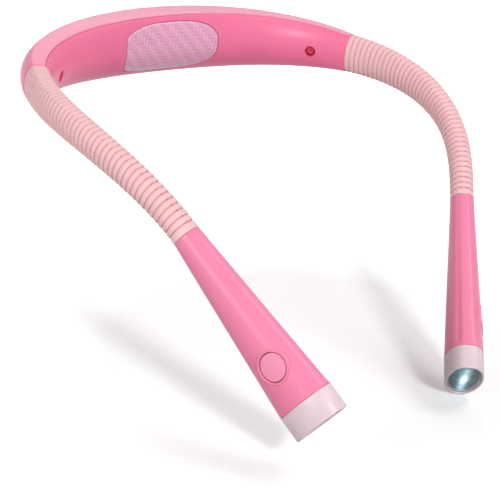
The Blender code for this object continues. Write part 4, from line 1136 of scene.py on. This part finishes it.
# %% The lamp housing and the face under its button
LAMP_WALL = 0.0015
LAMP_ROWS = 80
BUTTON_FROM_FRONT, BUTTON_RISE = 0.0248, 0.0018
BUTTON_ARC = SIDE_LENGTH - BUTTON_FROM_FRONT
BUTTON_HOLE = 0.0053
BUTTON_FLATNESS = 0.5
BUTTON_SIDES = 64


def lamp_housing(side):
    """The section along the lamp with rolled ends, and its inside a wall deeper."""
    arcs, depth = rolled_rows(LAMP_START + LAMP_SEAM, BEZEL_START - LAMP_SEAM, LAMP_ROWS)
    inner = np.linspace(arcs[-1, 0], arcs[0, 0], 6)[:, None]
    outside = place(side, arcs, *section(arcs, round_angles(arcs), depth))
    inside = place(side, inner, *section(inner, round_angles(inner), LAMP_WALL))
    return make_grid_piece(f"lamp_body_{side}", np.vstack([outside, inside]), ring=True)


def button_face(arcs, rise, wall=0.0):
    """The face under the button: half-way between the lamp's curved side and a flat that tilts as
    the side does over the button's height."""
    ends = [side_face(BUTTON_ARC, BUTTON_RISE + step, wall) for step in (-BUTTON_HOLE, BUTTON_HOLE)]
    middle = side_face(BUTTON_ARC, BUTTON_RISE, wall)
    slope = (side_face(BUTTON_ARC + BUTTON_HOLE, BUTTON_RISE, wall) - middle) / BUTTON_HOLE
    level = (middle + sum(ends) / 2) / 2 + slope * (arcs - BUTTON_ARC)
    flat = level + (ends[1] - ends[0]) / (2 * BUTTON_HOLE) * (rise - BUTTON_RISE)
    return side_face(arcs, rise, wall) * (1 - BUTTON_FLATNESS) + flat * BUTTON_FLATNESS


def button_rings(side, radii, depths, wall=0.0):
    """Rings about the button's axis on that face, each at its depth under it."""
    angle = around(BUTTON_SIDES)[None, :]
    radii, depths, wall = (np.broadcast_to(part, np.shape(radii))[:, None] for part in (radii, depths, wall))
    arcs, rise = BUTTON_ARC + radii * np.cos(angle), BUTTON_RISE + radii * np.sin(angle)
    return place(side, arcs, button_face(arcs, rise, wall) - depths, rise)


def level_rings(side, radius, *outs):
    """Flat rings about the button's axis."""
    angle, outs = around(BUTTON_SIDES)[None, :], np.array(outs)[:, None]
    return place(side, BUTTON_ARC + radius * np.cos(angle), outs, BUTTON_RISE + radius * np.sin(angle))


print("button face bulges", round(float(button_face(BUTTON_ARC, BUTTON_RISE)) * 1000, 2), "mm out")

# %% The button's ring and cap
CONTROL_BACK, CONTROL_THICKNESS = -0.0005, 0.0008
SWITCH_HEIGHT, PLUNGER_HEIGHT = 0.0014, 0.0006
PLUNGER_TOP = CONTROL_BACK + CONTROL_THICKNESS + FIT_GAP + SWITCH_HEIGHT + PLUNGER_HEIGHT
HOLE_END = 0.0093
RING_WIDTH, RING_HEIGHT, RING_FULLNESS = 0.0010, 0.0005, 0.7
BUTTON_RADIUS, BUTTON_PROUD = 0.0050, 0.0002
CAP_EDGE, CAP_FIRST_RING, CAP_RINGS = 0.00025, 0.0003, 12
FLANGE_RADIUS = BUTTON_HOLE + 0.0005
FLANGE_DEPTH, FLANGE_THICKNESS = 0.0006, 0.0006
STEM_RADIUS, BUTTON_TRAVEL = 0.0012, 0.0005


def button_ring(side):
    """A raised half-round rim on the face, height = RING_HEIGHT * sin^RING_FULLNESS across it."""
    turn = np.linspace(0, np.pi, 13)
    across = BUTTON_HOLE + RING_WIDTH / 2 * (1 - np.cos(turn))
    radii = np.concatenate([across, [BUTTON_HOLE + RING_WIDTH, BUTTON_HOLE]])
    depths = np.concatenate([-RING_HEIGHT * np.sin(turn) ** RING_FULLNESS, [LAMP_WALL / 2] * 2])
    return make_grid_piece(f"button_ring_{side}", button_rings(side, radii, depths), ring=True)


def push_cap(side):
    """From the middle of the cap over its rolled edge, down to the flange and in to the stem."""
    roll = np.linspace(0, np.pi / 2, 5)[1:]
    crown = np.linspace(CAP_FIRST_RING, BUTTON_RADIUS - CAP_EDGE, CAP_RINGS)
    edge = BUTTON_RADIUS - CAP_EDGE * (1 - np.sin(roll))
    behind = [BUTTON_RADIUS, FLANGE_RADIUS, FLANGE_RADIUS, STEM_RADIUS]
    radii = np.concatenate([crown, edge, behind])
    top = np.full(CAP_RINGS, -BUTTON_PROUD)
    edge_depths = CAP_EDGE * (1 - np.cos(roll)) - BUTTON_PROUD
    behind_depths = [FLANGE_DEPTH] * 2 + [FLANGE_DEPTH + FLANGE_THICKNESS] * 2
    depths = np.concatenate([top, edge_depths, behind_depths])
    wall = np.concatenate([np.zeros(len(radii) - len(behind)), np.full(len(behind), LAMP_WALL)])
    stem = level_rings(side, STEM_RADIUS, PLUNGER_TOP + BUTTON_TRAVEL + FIT_GAP)
    return make_grid_piece(f"push_cap_{side}", np.vstack([button_rings(side, radii, depths, wall), stem]))


for side in SIDES:
    lamp, body = lamp_housing(side), f"lamp_{side}"
    carve(lamp, make_grid_piece("tool", level_rings(side, BUTTON_HOLE, PLUNGER_TOP, HOLE_END)))
    finish_piece(lamp, housing_look, body, [f"lamp_housing_{side}"])
    finish_piece(button_ring(side), housing_look, body)
    finish_piece(push_cap(side), cap_look, f"button_{side}", [f"button_cap_{side}"])
    print(lamp.name, len(lamp.data.polygons), "faces")

# %% [markdown]
# ## Front ring, window, reflector and LED
#
# The front ring holds a flat clear window, and behind it a cup-shaped reflector gathers the light
# of one LED. Each is the lamp's section at some depth, carried a little way along the lamp, so a
# short list of (distance behind the front, depth) stations says all of it.

# %% The front ring and the window
LENS_INSET, LENS_THICKNESS, LENS_CHAMFER = 0.0005, 0.0012, 0.0002
LENS_SEAT = LENS_INSET + LENS_THICKNESS + FIT_GAP
BEZEL_RIM, BEZEL_WALL, BEZEL_TAPER = 0.0008, 0.0014, 0.0015
SPIGOT_LENGTH, SPIGOT_WALL = 0.0040, 0.0010
LENS_EDGE = BEZEL_RIM + FIT_GAP
LED_RISE = (SECTION_SIZES["crown"]["lamp"] - SECTION_SIZES["keel"]["lamp"]) / 2
FRONT_EDGE = [(0.0, 0.00055), (0.0, 0.00030), (0.00009, 0.00009), (0.00030, 0.0)]
BACK_EDGE = [(-0.0003, 0.0), (-0.00017, 0.00005), (-LAMP_SEAM, 0.0002)]
MOUTH_EDGE = [(0.0002, BEZEL_RIM), (0.00005, 0.00072)]
WINDOW_SHARES = np.array([0.03, 0.12, 0.22, 0.33, 0.45, 0.58, 0.72, 0.86])[:, None]

in_lamp = LAMP_WALL + FIT_GAP
bezel_stations = [
    *FRONT_EDGE, *((BEZEL_LENGTH + back, depth) for back, depth in BACK_EDGE),
    (BEZEL_LENGTH - LAMP_SEAM, in_lamp), (BEZEL_LENGTH + SPIGOT_LENGTH, in_lamp),
    (BEZEL_LENGTH + SPIGOT_LENGTH, in_lamp + SPIGOT_WALL), (BEZEL_LENGTH, in_lamp + SPIGOT_WALL),
    (BEZEL_LENGTH - BEZEL_TAPER, BEZEL_WALL), (LENS_SEAT, BEZEL_WALL), (LENS_SEAT, BEZEL_RIM),
    *MOUTH_EDGE,
]
lens_back = LENS_INSET + LENS_THICKNESS
lens_stations = [
    (LENS_INSET, LENS_EDGE + LENS_CHAMFER), (LENS_INSET + LENS_CHAMFER, LENS_EDGE),
    (lens_back - LENS_CHAMFER, LENS_EDGE), (lens_back, LENS_EDGE + LENS_CHAMFER),
]


def front_rings(side, stations):
    """Rings of the lamp's section, each (distance behind the front, depth under the section)."""
    back, depth = (np.array(column)[:, None] for column in zip(*stations))
    arcs = SIDE_LENGTH - back
    return place(side, arcs, *section(arcs, round_angles(arcs), depth))


def window(side):
    """The window: rings that grow from the middle of its front face to the rim, then its edge."""
    back, depth = lens_stations[0]
    arc = np.array([[SIDE_LENGTH - back]])
    out, up = section(arc, round_angles(arc), depth)
    face = place(side, arc, out * WINDOW_SHARES, LED_RISE + (up - LED_RISE) * WINDOW_SHARES)
    edge = front_rings(side, lens_stations)
    pane = make_grid_piece(f"window_{side}", np.vstack([face, edge]))
    rows = np.vstack([WINDOW_SHARES, np.ones((len(edge), 1))])
    grid = len(rows), out.shape[1]
    store(pane, "reach", np.broadcast_to(rows, grid))
    store(pane, "turn", np.broadcast_to(np.abs(np.arctan2(up - LED_RISE, out)), grid))
    return pane


print("stations of the ring and the window:", len(bezel_stations), len(lens_stations))

# %% The reflector and the LED in it
REFLECTOR_DEPTH, REFLECTOR_WALL = 0.0078, 0.0006
THROAT = 0.0036
CUP_ROWS = 20
LED_BACK = 0.00003
LED_SIDE, LED_HEIGHT, LED_SQUARENESS = 0.0036, 0.0005, 6
DOME_RADIUS, DOME_HEIGHT, DOME_ROWS, DOME_SHARE = 0.0016, 0.0009, 8, 0.97


def reflector(side):
    """The cup swells from its round throat to the oval mouth with the root of the share of its
    depth, as a parabola does. The outside comes first, then the polished inside on the way back."""
    there = np.linspace(0, 1, CUP_ROWS)
    share = np.concatenate([there, np.linspace(1, 0, CUP_ROWS)])[:, None]
    wall = np.repeat([0.0, REFLECTOR_WALL], CUP_ROWS)[:, None]
    front = np.full((2 * CUP_ROWS, 1), SIDE_LENGTH)
    out, up = section(front, round_angles(front), BEZEL_WALL + FIT_GAP + wall)
    angle = np.arctan2(up - LED_RISE, out)
    throat_out = (THROAT - wall) * np.cos(angle)
    throat_up = LED_RISE + (THROAT - wall) * np.sin(angle)
    swell = np.sqrt(share)
    arcs = SIDE_LENGTH - LENS_SEAT - REFLECTOR_DEPTH * (1 - share)
    out, up = throat_out + (out - throat_out) * swell, throat_up + (up - throat_up) * swell
    cup = make_grid_piece(f"cup_{side}", place(side, arcs, out, up), ring=True)
    store(cup, "depth", np.broadcast_to(1 - swell, angle.shape))
    store(cup, "turn", np.abs(angle))
    return cup


def led(side):
    """A square package, |x|^n + |y|^n = 1, and on it a flattened dome."""
    angle = around(48)[None, :]
    waves = np.abs(np.cos(angle)) ** LED_SQUARENESS + np.abs(np.sin(angle)) ** LED_SQUARENESS
    square = waves ** (-1 / LED_SQUARENESS)
    base = SIDE_LENGTH - LENS_SEAT - REFLECTOR_DEPTH + LED_BACK
    turn = np.linspace(0, np.pi / 2 * DOME_SHARE, DOME_ROWS)
    heights = np.concatenate([[0.0, LED_HEIGHT], LED_HEIGHT + DOME_HEIGHT * np.sin(turn)])[:, None]
    radii = np.concatenate([[LED_SIDE / 2] * 2, DOME_RADIUS * np.cos(turn)])[:, None]
    corner = np.concatenate([np.ones(2), np.zeros(DOME_ROWS)])[:, None]
    radius = radii * (1 + (square - 1) * corner)
    points = place(side, base + heights, radius * np.cos(angle), LED_RISE + radius * np.sin(angle))
    return make_grid_piece(f"led_die_{side}", points)


for side in SIDES:
    body = f"lamp_{side}"
    front = make_grid_piece(f"front_ring_{side}", front_rings(side, bezel_stations), ring=True)
    finish_piece(front, bezel_look, body, [f"bezel_{side}"])
    finish_piece(window(side), lens_look, body, [f"lens_{side}"])
    finish_piece(reflector(side), reflector_look, body, [f"reflector_{side}"])
    finish_piece(led(side), led_look, body, [f"led_{side}"])
print("pieces made:", len(pieces_made))

# %% [markdown]
# ## What stays from the packed model
#
# The screws, the cores, the battery, the boards and the socket are right as they are. They only
# get a better finish than the plain colour they were packed with.

# %% Finishes for the packed pieces
steel_look = hidden("bright_steel", (0.60, 0.60, 0.62), 0.25, 1.0, 2500.0)
screw_look = hidden("rose_coated_steel", (0.78, 0.070, 0.170), 0.50, 0.1, 2500.0)
board_look = hidden("green_circuit_board", (0.03, 0.20, 0.09), 0.45)
cell_look = hidden("cell_foil", (0.30, 0.32, 0.36), 0.35, 0.6)
inner_look = hidden("inner_nylon", (0.62, 0.60, 0.60))
red_look = hidden("red_lead_sheath", (0.62, 0.03, 0.03))
black_look = hidden("black_lead_sheath", (0.02, 0.02, 0.02))
KEPT = {
    "battery_cell": cell_look, "charging_board": board_look, "charging_socket": steel_look,
    "battery_red_lead": red_look, "battery_black_lead": black_look,
    "cover_screw": screw_look, "arm_plug": inner_look, "core_clamp": inner_look,
    "gooseneck_core": steel_look, "led_board": steel_look, "led_lead": red_look,
    "control_board": board_look, "tactile_switch": steel_look,
}
kept = {name: node for name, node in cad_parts.items() if not node.hide_render}
for name, node in kept.items():
    look = next(look for start, look in KEPT.items() if name.startswith(start))
    for material_slot in node.material_slots:
        material_slot.material = look
print("packed pieces that stay in sight:", len(kept))

# %% [markdown]
# ## Floor, light and camera
#
# The light stands on its lamps' tips on a white ground. To the camera, a mirror or a glass the
# surroundings are white, and for everything else they are a good deal darker: a ground that threw
# all its white back up would wash out the pink from below. Four large soft lamps light the object
# at a level where a colour renders about as it is written. Near the object the floor glows less of
# its own and shows more of the light that falls on it, so its shadow stays.

# %% Surroundings that are white only where they are looked at
WORLD_LIGHT = 0.21
WHITE = (1.0, 1.0, 1.0)


def looked_at(tree):
    """1 where the camera, a mirror or a glass looks at a surface, and 0 where it only lights."""
    path = tree.add("ShaderNodeLightPath").outputs
    seen = tree.maths("MAXIMUM", path["Is Camera Ray"], path["Is Glossy Ray"])
    return tree.maths("MAXIMUM", seen, path["Is Transmission Ray"])


world = bpy.data.worlds.new("studio")
bpy.context.scene.world = world
world.use_nodes = True
surroundings = Nodes(world.node_tree)
background = surroundings.nodes["Background"].inputs
surroundings.join(WHITE, background["Color"])
strength = surroundings.ramp(looked_at(surroundings), 0.0, 1.0, WORLD_LIGHT, 1.0)
surroundings.join(strength, background["Strength"])
print("the surroundings light at", WORLD_LIGHT, "of white")

# %% The floor
FLOOR = cad_box[0][2] - 0.0001
FLOOR_SEEN, FLOOR_LIGHTING = (0.92, 0.92, 0.92), (0.42, 0.42, 0.42)
GLOW_MIDDLE = (0.0, -0.13, 0.0)
GLOW_STARTS, GLOW_FULL = 0.09, 0.19
GLOW_NEAR, GLOW_FAR = 0.18, 0.95


def pale_floor():
    """A pale diffuse floor plus its own white, which grows from GLOW_NEAR under the object to
    GLOW_FAR round it and shows only where the floor is looked at."""
    look = Look("pale_floor").set(roughness=0.9, specular_ior_level=0.0)
    camera_ray = look.add("ShaderNodeLightPath").outputs["Is Camera Ray"]
    look.feed("Base Color", look.mix(camera_ray, FLOOR_LIGHTING, FLOOR_SEEN))
    far = look.vector("DISTANCE", look.place(), GLOW_MIDDLE, output="Value")
    level = look.ramp(far, GLOW_STARTS, GLOW_FULL, GLOW_NEAR, GLOW_FAR)
    strength = look.maths("MULTIPLY", looked_at(look), level)
    glow = look.add("ShaderNodeEmission", [("Color", WHITE), ("Strength", strength)])
    both = look.add("ShaderNodeAddShader", [(0, look.shader.outputs[0]), (1, glow.outputs[0])])
    look.join(both.outputs[0], look.nodes["Material Output"].inputs["Surface"])
    return look.material


bpy.ops.mesh.primitive_plane_add(size=8.0, location=(0.0, 0.0, FLOOR))
floor = bpy.context.object
floor.name = "studio_floor"
floor.data.materials.append(pale_floor())
floor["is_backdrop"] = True
print("floor at", round(FLOOR * 1000, 1), "mm")

# %% Lamps
LIGHTS = {
    "front": {"azimuth": -12, "elevation": 32, "size": 0.20, "power": 6.8},
    "left": {"azimuth": -86, "elevation": 14, "size": 0.40, "power": 5.8},
    "right": {"azimuth": 66, "elevation": 55, "size": 0.52, "power": 4.2},
    "behind": {"azimuth": 147, "elevation": 34, "size": 0.60, "power": 1.9},
}
LIGHT_DISTANCE = 1.15
MIDDLE = np.array([0.0, -0.08, -0.04])


def towards(azimuth, elevation):
    """A unit direction: azimuth 0 is -Y, where the wearer faces, and 90 is +X."""
    azimuth, elevation = math.radians(azimuth), math.radians(elevation)
    level = math.cos(elevation)
    return np.array([math.sin(azimuth) * level, -math.cos(azimuth) * level, math.sin(elevation)])


for name, light in LIGHTS.items():
    data = bpy.data.lights.new(name, "AREA")
    data.size, data.energy = light["size"], light["power"]
    lamp_object = bpy.data.objects.new(name, data)
    away = towards(light["azimuth"], light["elevation"])
    lamp_object.location = MIDDLE + away * LIGHT_DISTANCE
    aim = Vector(MIDDLE) - Vector(lamp_object.location)
    lamp_object.rotation_euler = aim.to_track_quat("-Z", "Y").to_euler()
    bpy.context.scene.collection.objects.link(lamp_object)
print("lamps:", list(LIGHTS))

# %% Camera
AZIMUTH, ELEVATION, ROLL = -40.489, 22.772, math.radians(7.643)
DISTANCE, SHIFT_X, SHIFT_Y = 0.716612, 0.038565, -0.087540
LENS_LENGTH, SENSOR_WIDTH = 122.48, 36.0
CLIP_START = 0.01

back = towards(AZIMUTH, ELEVATION)
right = np.array([math.cos(math.radians(AZIMUTH)), math.sin(math.radians(AZIMUTH)), 0.0])
cosine, sine = math.cos(ROLL), math.sin(ROLL)
tilt = np.array([[cosine, sine, 0.0], [-sine, cosine, 0.0], [0.0, 0.0, 1.0]])
view = tilt @ np.array([right, np.cross(back, right), back])
eye = view.T @ np.array([SHIFT_X, SHIFT_Y, DISTANCE]) + np.array([0.0, MIDDLE_BEHIND_PAD, 0.0])
camera_data = bpy.data.cameras.new("photo_view")
camera_data.lens, camera_data.sensor_width = LENS_LENGTH, SENSOR_WIDTH
camera_data.clip_start = CLIP_START
camera = bpy.data.objects.new("photo_view", camera_data)
camera.matrix_world = Matrix.Translation(Vector(eye)) @ Matrix(view.T.tolist()).to_4x4()
bpy.context.scene.collection.objects.link(camera)
bpy.context.scene.camera = camera
bpy.context.scene.view_settings.view_transform = "Standard"
print("camera at", np.round(eye, 4).tolist())

# %% Compare sizes and finish
bpy.context.view_layer.update()
visual_box = [[float(value) for value in corner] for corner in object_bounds()]
difference = float(np.abs(np.array(visual_box) - np.array(cad_box)).max())
print("largest difference in mm:", round(difference * 1000, 3))
